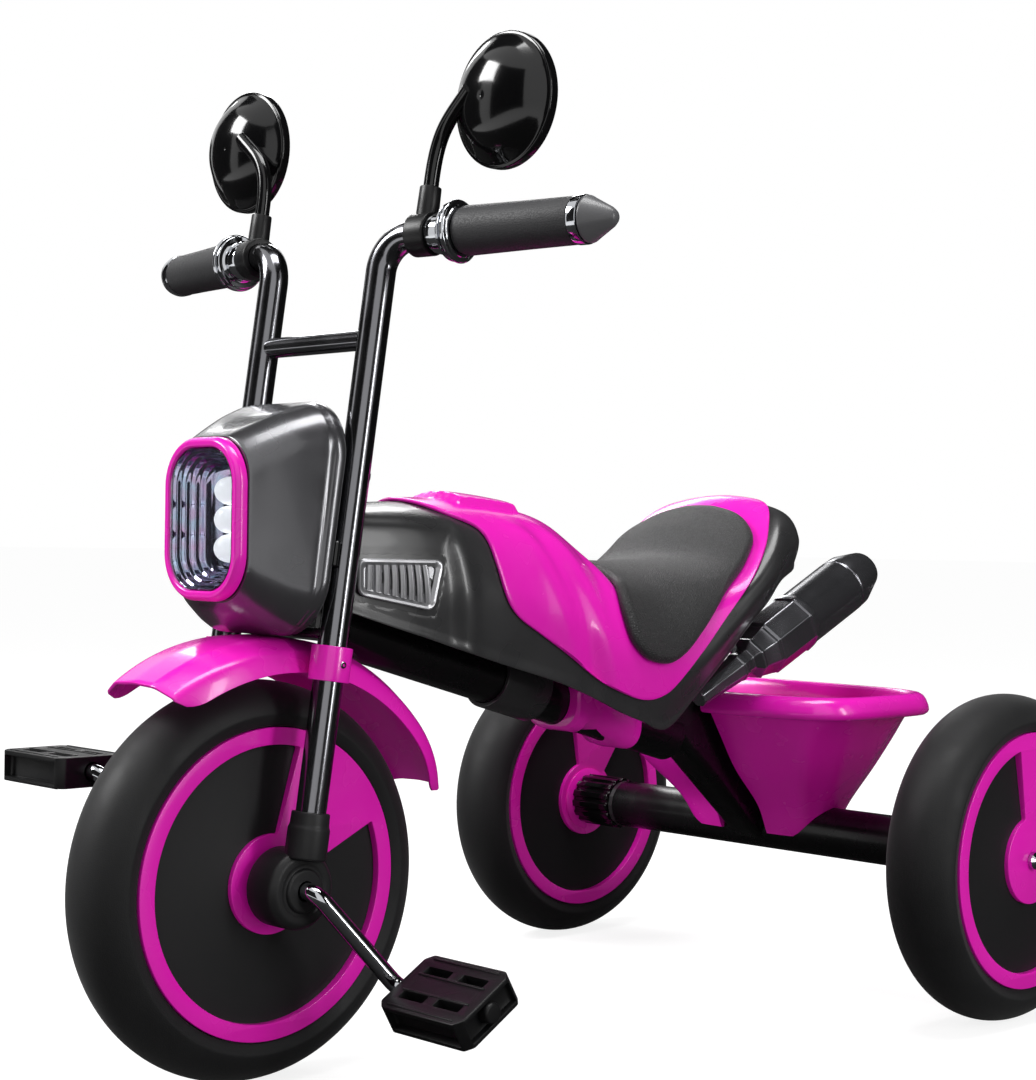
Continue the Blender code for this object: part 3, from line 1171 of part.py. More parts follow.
def make_basket():
    """A tapered bucket with fluted walls and a rolled lip, straddling the axle tube behind the strut."""
    floor_z = REAR_AXLE_Z + AXLE_TUBE_RADIUS + SEAT_GAP
    lip_foot = BASKET_RIM - BASKET_LIP
    inset = BASKET_LIP_REACH
    foot = WHEELBASE + 0.001
    # height, width, depth, middle and flute of each ring, from the skirt up to the rim
    skirt = (BASKET_SKIRT, BASKET_FLOOR_WIDTH - 0.004, BASKET_FLOOR_DEPTH - 0.004, foot + 0.003, 0.0)
    low = (floor_z + BASKET_WALL / 2, BASKET_FLOOR_WIDTH + 0.008, BASKET_FLOOR_DEPTH + 0.010, foot, 0.010)
    high = (lip_foot, BASKET_WIDTH - 2 * inset, BASKET_DEPTH - 2 * inset + 0.006, BASKET_MIDDLE, 0.006)
    waists = [(*(a + (b - a) * share for a, b, share in zip(low, high, waist[:4])), waist[4])
              for waist in BASKET_WAISTS]
    body = [skirt, low, *waists, high]
    # height of each lip ring, then how far it is drawn in
    roll = ((lip_foot + 0.0005, LIP_EDGE), (lip_foot + LIP_ROLL, 0.0), (BASKET_RIM - LIP_ROLL, LIP_EDGE),
            (BASKET_RIM, LIP_TOP))
    lip = [(z, BASKET_WIDTH - 2 * drawn, BASKET_DEPTH - 2 * drawn, BASKET_MIDDLE, 0.0) for z, drawn in roll]
    basket = loft("basket", [basket_ring(*ring, 0.0) for ring in body + lip], "pink plastic", ORIGIN)
    inside = [(floor_z + 0.003, *body[1][1:4], 0.0)] + body[2:]
    mouth = 2 * LIP_MOUTH
    inside.append((BASKET_RIM + 0.002, BASKET_WIDTH - mouth, BASKET_DEPTH - mouth, BASKET_MIDDLE, 0.0))
    cut(basket, loft("basket cavity", [basket_ring(*ring, BASKET_WALL) for ring in inside], None, ORIGIN))
    saddle = AXLE_TUBE_RADIUS + SEAT_GAP
    arch = arc(saddle, 0, math.pi, 16) + [(-saddle, -saddle), (saddle, -saddle)]
    place = (0, WHEELBASE, REAR_AXLE_Z)
    turn = (math.pi / 2, 0, math.pi / 2)
    cut(basket, plate("tube saddle", [arch], BASKET_WIDTH, None, ORIGIN, place, turn))


def basket_ring(z, width, depth, middle, flute, wall):
    """A squarish outline at a height, with a channel in its front for the strut."""
    half_x, half_y = width / 2 - wall, depth / 2 - wall
    ends, square = strut_ends()
    top, foot = (place + square * (depth_there / 2 + CHANNEL_GAP) for place, depth_there in ends)
    strut_y = foot.y + (z - foot.z) * (top.y - foot.y) / (top.z - foot.z)
    ring = []
    for x in (-CHANNEL_MOUTH, -CHANNEL_FLOOR, 0.0, CHANNEL_FLOOR, CHANNEL_MOUTH):
        y = middle - half_y * (1 - (x / half_x) ** 4) ** 0.25
        if abs(x) < CHANNEL_MOUTH:
            y = max(y, strut_y + wall)
        ring.append((x + math.copysign(wall, x) if x else x, y, z))
    count = 25
    first = math.asin(((CHANNEL_MOUTH + 0.012) / half_x) ** 2)
    for i in range(count):
        turn = -math.pi / 2 + first + (2 * math.pi - 2 * first) * i / (count - 1)
        c, s = math.cos(turn), math.sin(turn)
        swell = 1 + flute * math.cos(8 * turn)
        x = half_x * swell * math.copysign(abs(c) ** 0.5, c)
        ring.append((x, middle + half_y * swell * math.copysign(abs(s) ** 0.5, s), z))
    return ring


def make_rear_axle():
    centre = REAR_TRACK / 2
    outer = centre + TRIM_FACE
    tip = outer + ROD_CAP_HEIGHT
    profile = [(0, tip), (ROD_CAP_RADIUS * 0.55, tip), (ROD_CAP_RADIUS, tip - 0.0015),
               (ROD_CAP_RADIUS, outer + SEAT_GAP), (AXLE_ROD_RADIUS, outer + SEAT_GAP)]
    profile += [(r, -h) for r, h in reversed(profile)]
    turned("rear_axle_rod", profile, "chrome", ORIGIN, (0, WHEELBASE, REAR_AXLE_Z), axis="x", sides=16)
    end = AXLE_TUBE_LENGTH / 2
    for side, name in ((1, "left"), (-1, "right")):
        inner, fit = AXLE_ROD_RADIUS + SEAT_GAP, AXLE_TUBE_RADIUS - FRAME_WALL - SEAT_GAP
        bush = [(inner, end + SEAT_GAP + BUSH_FLANGE), (AXLE_TUBE_RADIUS, end + SEAT_GAP + BUSH_FLANGE),
                (AXLE_TUBE_RADIUS, end + SEAT_GAP), (fit, end + SEAT_GAP), (fit, end - BUSH_PLUG),
                (inner, end - BUSH_PLUG)]
        if side < 0:
            bush = [(r, -h) for r, h in reversed(bush)]
        turned("axle_bush_" + name, bush, "charcoal plastic", ORIGIN, (0, WHEELBASE, REAR_AXLE_Z), axis="x",
               sides=16, loop=True)
        wheel = empty("rear_axle_" + name, ORIGIN, (side * centre, WHEELBASE, REAR_AXLE_Z))
        reach = centre - end - SEAT_GAP - BUSH_FLANGE - RUNNING_GAP
        kinds = ("rear_tyre_", "rear_wheel_disc_", "rear_trim_outer_", "rear_trim_inner_")
        names = [kind + name for kind in kinds]
        make_wheel(names, REAR_RADIUS, REAR_TYRE_DEPTH, wheel, REAR_WEDGE, reach, inward=-side)


make_frame()
make_front_wheel()
make_fork()
make_fork_ends()
make_fender()
make_headlight()
make_controls()
make_body()
make_exhausts()
make_basket()
make_rear_axle()
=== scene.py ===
"""Finish and fine detail for a child's pedal tricycle styled as a small motorbike.

It is laid out as an add-on and run as a script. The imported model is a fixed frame, and each visible
piece is built round it. Sizes are in metres. They are measured as in the part's source: x to the
rider's left, y from the front axle to the rear, z up from the floor.
"""

import functools
import json
import math

import bmesh
import bpy
from mathutils import Matrix, Vector


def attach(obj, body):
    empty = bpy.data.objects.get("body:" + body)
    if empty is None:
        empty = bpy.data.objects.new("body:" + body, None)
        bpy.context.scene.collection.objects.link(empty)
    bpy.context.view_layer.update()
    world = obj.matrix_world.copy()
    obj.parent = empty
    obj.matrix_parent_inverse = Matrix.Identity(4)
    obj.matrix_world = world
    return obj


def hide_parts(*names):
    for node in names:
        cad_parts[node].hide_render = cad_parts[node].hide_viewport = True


bl_info = {
    "name": "Child's tricycle detail",
    "version": (1, 0, 0),
    "blender": (4, 5, 0),
    "location": "View3D > Sidebar > Tricycle",
    "description": "Builds the finished pieces of a child's pedal tricycle round its packed frame",
    "category": "Object",
}

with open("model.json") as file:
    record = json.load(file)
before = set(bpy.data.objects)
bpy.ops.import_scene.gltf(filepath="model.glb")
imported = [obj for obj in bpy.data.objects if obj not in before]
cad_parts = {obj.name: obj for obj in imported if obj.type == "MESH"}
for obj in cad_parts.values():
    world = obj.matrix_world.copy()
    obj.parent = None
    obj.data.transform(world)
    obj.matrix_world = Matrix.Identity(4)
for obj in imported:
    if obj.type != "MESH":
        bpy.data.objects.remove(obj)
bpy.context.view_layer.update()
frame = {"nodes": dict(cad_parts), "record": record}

# Fits
SEAT_GAP = 0.0003
RUNNING_GAP = 0.0008

# Wheels
FRONT_RADIUS = 0.125
REAR_RADIUS = 0.117
WHEELBASE = 0.509
REAR_TRACK = 0.440
TYRE_WIDTH = 0.056
FRONT_TYRE_DEPTH = 0.0275
REAR_TYRE_DEPTH = 0.0253
DISC_WIDTH = 0.046
TRIM_THICKNESS = 0.003
TRIM_FACE = DISC_WIDTH / 2 + SEAT_GAP + TRIM_THICKNESS
DISC_DISH = 0.0020
RING_WIDTH = 0.0115
HUB_RADIUS = 0.031
SLEEVE_RADIUS = 0.0212
SLEEVE_RIBS = 14
SLEEVE_GROOVE = 0.0020
FRONT_WEDGE = (math.radians(22), math.radians(76))
REAR_WEDGE = (math.radians(51), math.radians(102))
WHEEL_SIDES = 144

# Steering axis, fork and handlebar
RAKE = math.radians(8.4)
LEG_LEAD = 0.020
LEG_X = 0.055
TUBE_RADIUS = 0.0095
TUBE_WALL = 0.0015
BAR_RISE = 0.4064
BAR_BEND = 0.022
BAR_REACH = 0.150
BAR_SWEEP = math.radians(10.0)
BAR_LIFT = math.radians(1.5)
LEG_FOOT = 0.030
BRIDGE_RISE = 0.342
BRIDGE_RADIUS = 0.0066
HEAD_FOOT = 0.1613
HEAD_LENGTH = 0.0912
CROWN_THICKNESS = 0.005
CROWN_BOSS = TUBE_RADIUS + 0.0037
CROWN_HUB = 0.018
STEM_RADIUS = 0.0085
BUSH_LIP = 0.0015
BOOT_TOP = 0.0475
BOOT_RADIUS = 0.0118
BOOT_COLLAR = 0.0130
BOOT_FOOT = 0.019
BOSS_RADIUS = 0.0245
BOSS_INNER = 0.0320
BOSS_OUTER = 0.0580
BOSS_NOSE = 0.0020
NOSE_RADIUS = 0.0135

# Crank and pedals
CRANK_RADIUS = 0.0055
CRANK_THROW = 0.0786
CRANK_ANGLE = math.radians(-51.1)
CRANK_BEND = 0.011
PEDAL_INNER = 0.0995
PEDAL_WIDTH = 0.0726
PEDAL_LENGTH = 0.0500
PEDAL_HEIGHT = 0.0200
PEDAL_PLATE = 0.0030
PEDAL_TILT = math.radians(30.4)
PEDAL_SLOT = (0.0220, 0.0065)
PEDAL_RIB = 0.0090
PEDAL_CORE = 0.0165
PEDAL_RECESS = 0.0060
PEDAL_END = 0.0045

# Front fender
FENDER_RADIUS = 0.1533
FENDER_DROP = 0.022
FENDER_HALF = LEG_X - TUBE_RADIUS - 0.0005
FENDER_FLAT = 0.023
FENDER_WALL = 0.0022
FENDER_ENDS = (math.radians(-34.5), math.radians(70.0))
FENDER_ROWS = 73
CLAMP_FOOT = 0.1275
CLAMP_HEIGHT = 0.0215
CLAMP_RADIUS = 0.0128
# Radius and height on the screw's head, with its socket
SCREW_HEAD = ((0, 0.0002), (0.0010, 0.0002), (0.0010, 0.0010), (0.0018, 0.0010), (0.0022, 0.0005),
              (0.0022, -0.001), (0, -0.001))

# Headlight
LAMP_FRONT = -0.040
LAMP_MIDDLE = 0.3495
LAMP_WIDTH = 0.078
LAMP_HEIGHT = 0.101
LAMP_CORNER = 0.030
BEZEL_WIDTH = 0.0065
BEZEL_DEPTH = 0.008
HOUSING_WIDTH = 0.126
HOUSING_FOOT = 0.2780
HOUSING_TOP = 0.4245
HOUSING_WALL = 0.0022
REFLECTOR_DEPTH = 0.022
DOME_RADIUS = 0.0087
DOME_PITCH = 0.0177

# Grips and mirrors
GRIP_START = 0.0614
GRIP_END = 0.1528
GRIP_RADIUS = 0.0153
GRIP_END_RADIUS = 0.0143
COLLAR_RADIUS = 0.0195
COLLAR_LENGTH = 0.0215
CAP_LENGTH = 0.020
CLAMP_AT = 0.0315
CLAMP_LENGTH = 0.015
MIRROR_CLAMP_RADIUS = 0.0135
SOCKET_HEIGHT = 0.030
MIRROR_RADIUS = 0.042
MIRROR_DEPTH = 0.025
MIRROR_PLACE = (0.1296, 0.0944, 0.6079)
MIRROR_STEM_RADIUS = 0.0048

# Body, seat and silencers
SHELL_WALL = 0.0025
COVER_WALL = 0.0025
EXHAUST_X = 0.066
EXHAUST_FRONT = (0.3516, 0.2270)
EXHAUST_REAR = (0.5476, 0.3207)
EXHAUST_LUG = (0.022, 0.012)
EXHAUST_LUG_PLACE = (0.388, 0.244)
# Share of the silencer's length and radius there, from its front pipe into its mouth
EXHAUST_STATIONS = (
    (0.0, 0.0060), (0.003, 0.0070), (0.10, 0.0085), (0.215, 0.0104), (0.218, 0.0112), (0.236, 0.0112),
    (0.239, 0.0104), (0.270, 0.0106), (0.285, 0.0165), (0.290, 0.0172), (0.296, 0.0172), (0.300, 0.0166),
    (0.352, 0.0200), (0.358, 0.0207), (0.366, 0.0207), (0.372, 0.0222), (0.545, 0.0225), (0.549, 0.0236),
    (0.575, 0.0236), (0.579, 0.0225), (0.840, 0.0228), (0.843, 0.0222), (0.849, 0.0222), (0.852, 0.0228),
    (0.900, 0.0222), (0.992, 0.0155), (1.0, 0.0146), (1.0, 0.0118), (0.985, 0.0110), (0.965, 0.0108),
)
STRUT_WIDTH = 0.032
STRUT_TOP = (0.376, 0.236)
STRUT_FOOT = (WHEELBASE - 0.0135, 0.1225)
STRUT_DEPTHS = (0.050, 0.030)
STRUT_CORNER = 0.008
STRUT_SINK = 0.006
HEAD_RADIUS = 0.017
HEAD_NOTCH = 0.0176
CROWN_CLEARANCE = 0.029
FENDER_CLEARANCE = 0.159
FRAME_WALL = 0.0018
BACKBONE_ENDS = (0.060, 0.392)
BACKBONE_RADIUS = 0.019
SLEEVE_Y = 0.226
SLEEVE_LENGTH = 0.044
SLEEVE_WALL = 0.0035
BACKBONE_LOW_Z = 0.2529
BACKBONE_LOW_Y = 0.1046
BACKBONE_SLOPE = math.radians(15.4)
BRACKET_ENDS = (0.268, 0.336)
# Share of the bracket's length and how far it stands out there
BRACKET_WAIST = ((0.0, -0.004), (0.0, -0.0015), (0.03, 0.0), (0.16, 0.0), (0.30, -0.004), (0.5, -0.0055),
                 (0.70, -0.004), (0.84, 0.0), (0.97, 0.0), (1.0, -0.0015), (1.0, -0.004))
CHEEK_SIZE = (0.056, 0.052)
CHEEK_RISE = 0.004

# Basket and rear axle
BASKET_WIDTH = 0.282
BASKET_DEPTH = 0.166
BASKET_MIDDLE = 0.488
BASKET_RIM = 0.2280
BASKET_LIP = 0.0170
BASKET_WALL = 0.0025
BASKET_LIP_REACH = 0.015
BASKET_SKIRT = 0.1130
CHANNEL_FLOOR = 0.0180
CHANNEL_MOUTH = 0.0230
STRUT_BACK = ((0.4319, 0.2143), (0.5057, 0.1355))
AXLE_TUBE_RADIUS = 0.019
AXLE_TUBE_LENGTH = 0.292
AXLE_ROD_RADIUS = 0.005

# Places worked out from the sizes
MIDDLE_Y = (WHEELBASE + REAR_RADIUS - FRONT_RADIUS) / 2
AXIS_Y = LEG_LEAD * math.cos(RAKE)
AXIS_Z = FRONT_RADIUS - LEG_LEAD * math.sin(RAKE)
ORIGIN = Matrix.Translation((0, -MIDDLE_Y, 0))
STEERING = ORIGIN @ Matrix.Translation((0, AXIS_Y, AXIS_Z)) @ Matrix.Rotation(-RAKE, 4, "X")
FRONT_AXLE = ORIGIN @ Matrix.Translation((0, 0, FRONT_RADIUS))
REAR_AXLE = ORIGIN @ Matrix.Translation((0, WHEELBASE, REAR_RADIUS))
ALONG_X = Matrix.Rotation(math.pi / 2, 4, "Y")
ALONG_Y = Matrix.Rotation(-math.pi / 2, 4, "X")
# A plate on the wheel: its first axis points to the rear and its second up
FACING_X = Matrix.Rotation(math.pi / 2, 4, "Z") @ Matrix.Rotation(math.pi / 2, 4, "X")
SIDES = ((1, "left"), (-1, "right"))

HOUSING_BACK_LOCAL = -LEG_LEAD - TUBE_RADIUS - SEAT_GAP - 0.0035 - SEAT_GAP
HOUSING_BACK_Y = (
    AXIS_Y + (HOUSING_BACK_LOCAL + (HOUSING_FOOT - AXIS_Z) * math.sin(RAKE)) / math.cos(RAKE)
)
# Rings of the housing from its mouth to its back: depth at its foot, width, foot, top, corner and lean
HOUSING_RINGS = (
    (LAMP_FRONT + BEZEL_DEPTH + SEAT_GAP, LAMP_WIDTH + 0.001, 0.2985, 0.4005, 0.027, 0.0),
    (-0.0270, 0.0860, 0.2930, 0.4055, 0.027, 0.04),
    (-0.0120, 0.1050, 0.2835, 0.4165, 0.029, 0.09),
    (-0.0010, 0.1190, 0.2785, 0.4230, 0.031, 0.13),
    (HOUSING_BACK_Y - 0.0030, HOUSING_WIDTH, HOUSING_FOOT, HOUSING_TOP, 0.037, math.tan(RAKE)),
    (HOUSING_BACK_Y, HOUSING_WIDTH - 0.003, HOUSING_FOOT, HOUSING_TOP - 0.0030, 0.036, math.tan(RAKE)),
)

# Sections of the body: distance behind the front axle, top height, then half width and height of
# the shoulder, of the widest line and of the hem
BODY_SECTIONS = (
    (0.0500, 0.3590, (0.0330, 0.3520), (0.0435, 0.3260), (0.0430, 0.2930)),
    (0.1000, 0.3635, (0.0430, 0.3510), (0.0560, 0.3180), (0.0540, 0.2760)),
    (0.1600, 0.3640, (0.0480, 0.3470), (0.0640, 0.3080), (0.0600, 0.2580)),
    (0.2100, 0.3590, (0.0490, 0.3410), (0.0690, 0.2960), (0.0650, 0.2440)),
    (0.2350, 0.3545, (0.0490, 0.3300), (0.0705, 0.2860), (0.0670, 0.2350)),
    (0.2530, 0.3470, (0.0490, 0.3180), (0.0720, 0.2760), (0.0690, 0.2275)),
    (0.2680, 0.3340, (0.0500, 0.3120), (0.0730, 0.2680), (0.0700, 0.2210)),
    (0.2850, 0.3180, (0.0530, 0.2980), (0.0740, 0.2570), (0.0715, 0.2150)),
    (0.3100, 0.3130, (0.0570, 0.2930), (0.0760, 0.2500), (0.0730, 0.2080)),
    (0.3400, 0.3135, (0.0620, 0.2980), (0.0800, 0.2600), (0.0750, 0.2310)),
    (0.3700, 0.3150, (0.0660, 0.3050), (0.0830, 0.2820), (0.0765, 0.2570)),
    (0.3950, 0.3230, (0.0680, 0.3170), (0.0845, 0.3020), (0.0765, 0.2790)),
    (0.4200, 0.3480, (0.0670, 0.3400), (0.0835, 0.3220), (0.0740, 0.2965)),
    (0.4400, 0.3680, (0.0620, 0.3590), (0.0780, 0.3370), (0.0700, 0.3120)),
    (0.4560, 0.3740, (0.0560, 0.3650), (0.0740, 0.3440), (0.0690, 0.3210)),
    (0.4860, 0.3640, (0.0330, 0.3590), (0.0460, 0.3480), (0.0420, 0.3330)),
)
BODY_ENDS = (BODY_SECTIONS[0][0], BODY_SECTIONS[-1][0])
# Half outlines on the body: distance behind the front axle, share of the way from ridge to hem
COVER_OUTLINE = (
    (0.1130, 0.0), (0.1190, 0.13), (0.1280, 0.25), (0.1470, 0.365), (0.1530, 0.555), (0.1590, 0.705),
    (0.1690, 0.780), (0.1880, 0.825), (0.2250, 0.890), (0.2460, 0.915), (0.2700, 0.905), (0.2880, 0.875),
    (0.3050, 0.800), (0.3380, 0.655), (0.3850, 0.500), (0.4290, 0.350), (0.4480, 0.265), (0.4580, 0.150),
    (0.4610, 0.0),
)
PAD_OUTLINE = (
    (0.2860, 0.0), (0.2790, 0.22), (0.2700, 0.38), (0.2650, 0.52), (0.2680, 0.645), (0.2800, 0.675),
    (0.3000, 0.650), (0.3200, 0.605), (0.3400, 0.530), (0.3780, 0.390), (0.4050, 0.335), (0.4190, 0.300),
    (0.4300, 0.200), (0.4340, 0.080), (0.4345, 0.0),
)
# Height and place of the swells and the crease of the cover's fold, in crease widths
FOLD_WAVES = ((0.0018, -1.9), (-0.0023, 0.0), (0.0016, 1.9))
VENT_CORNERS = ((0.0500, 0.3265), (0.1110, 0.3260), (0.1030, 0.2930), (0.0530, 0.3035))
VENT_SLATS = 8
SLAT_LEAN = 0.10
# Across a slat, as a share of its pitch, and height over the skin
SLAT_SECTION = ((-0.36, -0.0022), (-0.36, -0.0002), (-0.22, 0.0004), (0.10, 0.0006), (0.36, -0.0002),
                (0.36, -0.0022))


# Numbers and outlines

def blend(points, place):
    """A smooth curve through (place, value) points."""
    if place <= points[0][0]:
        return points[0][1]
    if place >= points[-1][0]:
        return points[-1][1]
    i = max(k for k in range(len(points) - 1) if points[k][0] <= place)
    (x0, y0), (x1, y1) = points[i], points[i + 1]

    def slope(k):
        before, after = max(k - 1, 0), min(k + 1, len(points) - 1)
        return (points[after][1] - points[before][1]) / (points[after][0] - points[before][0])

    s, h = (place - x0) / (x1 - x0), x1 - x0
    rise = (2 * s**3 - 3 * s**2 + 1) * y0 + (3 * s**2 - 2 * s**3) * y1
    return rise + h * ((s**3 - 2 * s**2 + s) * slope(i) + (s**3 - s**2) * slope(i + 1))


def straight(points, place, soft):
    """Straight lines through (place, value) points, with each bend softened over a small width."""
    places = [point[0] for point in points]
    reach = min(soft, place - places[0], places[-1] - place)
    total = 0.0
    for shift in (-1.0, -0.5, 0.0, 0.5, 1.0):
        at = min(max(place + shift * reach, places[0]), places[-1])
        i = max(k for k in range(len(places) - 1) if places[k] <= at)
        share = (at - places[i]) / (places[i + 1] - places[i])
        total += points[i][1] + (points[i + 1][1] - points[i][1]) * share
    return total / 5


def ramp(value, low, high):
    """From 0 below low to 1 above high, with soft ends."""
    share = min(max((value - low) / (high - low), 0.0), 1.0)
    return share * share * (3 - 2 * share)


def spaced(low, high, count):
    return [low + (high - low) * i / (count - 1) for i in range(count)]


def arc(radius, start, end, steps, centre=(0, 0)):
    return [(centre[0] + radius * math.cos(a), centre[1] + radius * math.sin(a))
            for a in spaced(start, end, steps + 1)]


def circle(radius, sides):
    return arc(radius, 0, 2 * math.pi, sides)[:-1]


def rounded_rectangle(width, height, corner, steps=10):
    half_w, half_h = width / 2 - corner, height / 2 - corner
    outline = []
    centres = ((half_w, half_h), (-half_w, half_h), (-half_w, -half_h), (half_w, -half_h))
    for i, (u, v) in enumerate(centres):
        outline += arc(corner, i * math.pi / 2, (i + 1) * math.pi / 2, steps, (u, v))
    return outline


def eased(points, radius, steps=4, closed=True, least=0.25):
    """An outline with a small curve in place of each corner that turns by more than the least angle."""
    points = [Vector(p) for p in points]
    count = len(points)
    path = []
    for i, corner in enumerate(points):
        if not closed and i in (0, count - 1):
            path.append(corner)
            continue
        before, after = points[i - 1] - corner, points[(i + 1) % count] - corner
        if math.pi - before.angle(after, math.pi) < least:
            path.append(corner)
            continue
        reach = min(radius, 0.48 * before.length, 0.48 * after.length)
        start, end = corner + before.normalized() * reach, corner + after.normalized() * reach
        for k in range(steps + 1):
            s = k / steps
            path.append(start * (1 - s) ** 2 + corner * 2 * s * (1 - s) + end * s * s)
    return path


def soft_path(points, count):
    """A smooth line through a few points, straight at both ends."""
    points = [Vector(p) for p in points]
    padded = [2 * points[0] - points[1]] + points + [2 * points[-1] - points[-2]]
    path = []
    for i in range(count + 1):
        along = (len(points) - 1) * i / count
        k = min(int(along), len(points) - 2)
        s = along - k
        a, b, c, d = padded[k:k + 4]
        bend, twist = 2 * a - 5 * b + 4 * c - d, 3 * b - a - 3 * c + d
        path.append((2 * b + (c - a) * s + bend * s**2 + twist * s**3) / 2)
    return path


def bent_path(points, radius, steps=14):
    """A line with an arc in place of each inner corner."""
    path = [Vector(points[0])]
    for before, corner, after in zip(points, points[1:], points[2:]):
        corner = Vector(corner)
        back = (Vector(before) - corner).normalized()
        ahead = (Vector(after) - corner).normalized()
        half = back.angle(ahead) / 2
        centre = corner + (back + ahead).normalized() * radius / math.sin(half)
        start = (corner + back * radius / math.tan(half) - centre).normalized()
        end = (corner + ahead * radius / math.tan(half) - centre).normalized()
        path += [centre + start.slerp(end, i / steps) * radius for i in range(steps + 1)]
    path.append(Vector(points[-1]))
    return path


# Shapes

def moved(x, y, z):
    return Matrix.Translation((x, y, z))


def pointing(direction):
    """Turns z along a direction."""
    return direction.to_track_quat("Z", "Y").to_matrix().to_4x4()


def facing_out(side):
    """Turns z to the outside of the left or right side."""
    return Matrix.Rotation(side * math.pi / 2, 4, "Y")


def solid(points, faces, place=ORIGIN):
    """A bare object from points and faces, put in its place."""
    mesh = bpy.data.meshes.new("shape")
    mesh.from_pydata([place @ Vector(p) for p in points], [], faces)
    work = bmesh.new()
    work.from_mesh(mesh)
    bmesh.ops.remove_doubles(work, verts=work.verts, dist=1e-6)
    bmesh.ops.recalc_face_normals(work, faces=work.faces)
    work.to_mesh(mesh)
    work.free()
    made = bpy.data.objects.new("shape", mesh)
    bpy.context.scene.collection.objects.link(made)
    return made


def grid_faces(rows, columns, wrap=False):
    faces = []
    for i in range(rows - 1):
        for j in range(columns if wrap else columns - 1):
            k = (j + 1) % columns
            faces.append((i * columns + j, i * columns + k, (i + 1) * columns + k, (i + 1) * columns + j))
    return faces


def loft(rings, place=ORIGIN, capped=True, looped=False):
    """A skin over rings of equally many points, with flat ends, or joined end to end."""
    count, columns = len(rings), len(rings[0])
    points = [tuple(point) for ring in rings for point in ring]
    faces = grid_faces(count, columns, wrap=True)
    last = (count - 1) * columns
    if looped:
        faces += [(last + j, last + (j + 1) % columns, (j + 1) % columns, j) for j in range(columns)]
    elif capped:
        faces.append(tuple(range(columns))[::-1])
        faces.append(tuple(range(last, last + columns)))
    return solid(points, faces, place)


def turned(profile, place, sides=64, looped=False):
    """A (radius, height) profile turned about z. Unlooped, it starts and ends on the axis or open."""
    rings = []
    for radius, height in profile:
        radius = max(radius, 1e-7)
        rings.append([(radius * math.cos(a), radius * math.sin(a), height)
                      for a in spaced(0, 2 * math.pi, sides + 1)[:-1]])
    return loft(rings, place, capped=False, looped=looped)


def lathe(profile, edge, steps, place, sides, looped=False):
    """A turned shape with the corners of its profile eased."""
    return turned(eased(profile, edge, steps, closed=looped), place, sides, looped)


def rod(radius, low, high, place, sides=48, edge=0.0):
    profile = [(0, high), (radius, high), (radius, low), (0, low)]
    return turned(eased(profile, edge, 3, closed=False) if edge else profile, place, sides)


def swept(path, radius, place=ORIGIN, sides=40, wall=None):
    """A bar or, with a wall, a pipe along a path, its section carried along without twist."""
    path = [Vector(p) for p in path]
    steps = [(path[min(i + 1, len(path) - 1)] - path[max(i - 1, 0)]).normalized() for i in range(len(path))]
    side = steps[0].orthogonal().normalized()
    outer, inner = [], []
    outline = circle(1.0, sides)
    for i, (centre, ahead) in enumerate(zip(path, steps)):
        if i:
            side = (side - ahead * side.dot(ahead)).normalized()
        up = ahead.cross(side)
        outer.append([centre + (side * u + up * v) * radius for u, v in outline])
        if wall:
            inner.append([centre + (side * u + up * v) * (radius - wall) for u, v in outline])
    if wall:
        return loft(outer + inner[::-1], place, looped=True)
    return loft(outer, place)


def plate(loops, thickness, place, edge=0.0004, steps=2):
    """A flat outline with its holes, given a thickness and soft edges."""
    curve = bpy.data.curves.new("plate", "CURVE")
    curve.dimensions = "2D"
    curve.fill_mode = "BOTH"
    curve.extrude = thickness / 2 - edge
    curve.bevel_depth = edge
    curve.bevel_resolution = steps
    curve.offset = -edge
    for loop in loops:
        spline = curve.splines.new("POLY")
        spline.points.add(len(loop) - 1)
        for point, (u, v) in zip(spline.points, loop):
            point.co = (u, v, 0, 1)
        spline.use_cyclic_u = True
    guide = bpy.data.objects.new("plate", curve)
    bpy.context.scene.collection.objects.link(guide)
    mesh = bpy.data.meshes.new_from_object(guide.evaluated_get(bpy.context.evaluated_depsgraph_get()))
    bpy.data.objects.remove(guide, do_unlink=True)
    points = [tuple(vert.co) for vert in mesh.vertices]
    faces = [tuple(face.vertices) for face in mesh.polygons]
    return solid(points, faces, place)


def settle(made):
    """Makes a shape's modifiers part of its mesh."""
    graph = bpy.context.evaluated_depsgraph_get()
    mesh = bpy.data.meshes.new_from_object(made.evaluated_get(graph))
    made.modifiers.clear()
    made.data = mesh
    return made


def combine(made, others, operation):
    for other in others:
        step = made.modifiers.new("step", "BOOLEAN")
        step.operation = operation
        step.solver = "EXACT"
        step.object = other
        settle(made)
        bpy.data.objects.remove(other, do_unlink=True)
    return made


def cut(made, *others):
    return combine(made, others, "DIFFERENCE")


def join(made, *others):
    return combine(made, others, "UNION")


def grouped(*shapes):
    """Several closed shapes as one piece's mesh."""
    work = bmesh.new()
    for shape in shapes:
        work.from_mesh(shape.data)
    work.to_mesh(shapes[0].data)
    work.free()
    for shape in shapes[1:]:
        bpy.data.objects.remove(shape, do_unlink=True)
    return shapes[0]


def softened(made, width, segments=2, angle=35):
    """A small radius on each sharp edge."""
    step = made.modifiers.new("edge", "BEVEL")
    step.width = width
    step.segments = segments
    step.limit_method = "ANGLE"
    step.angle_limit = math.radians(angle)
    step.use_clamp_overlap = True
    return settle(made)


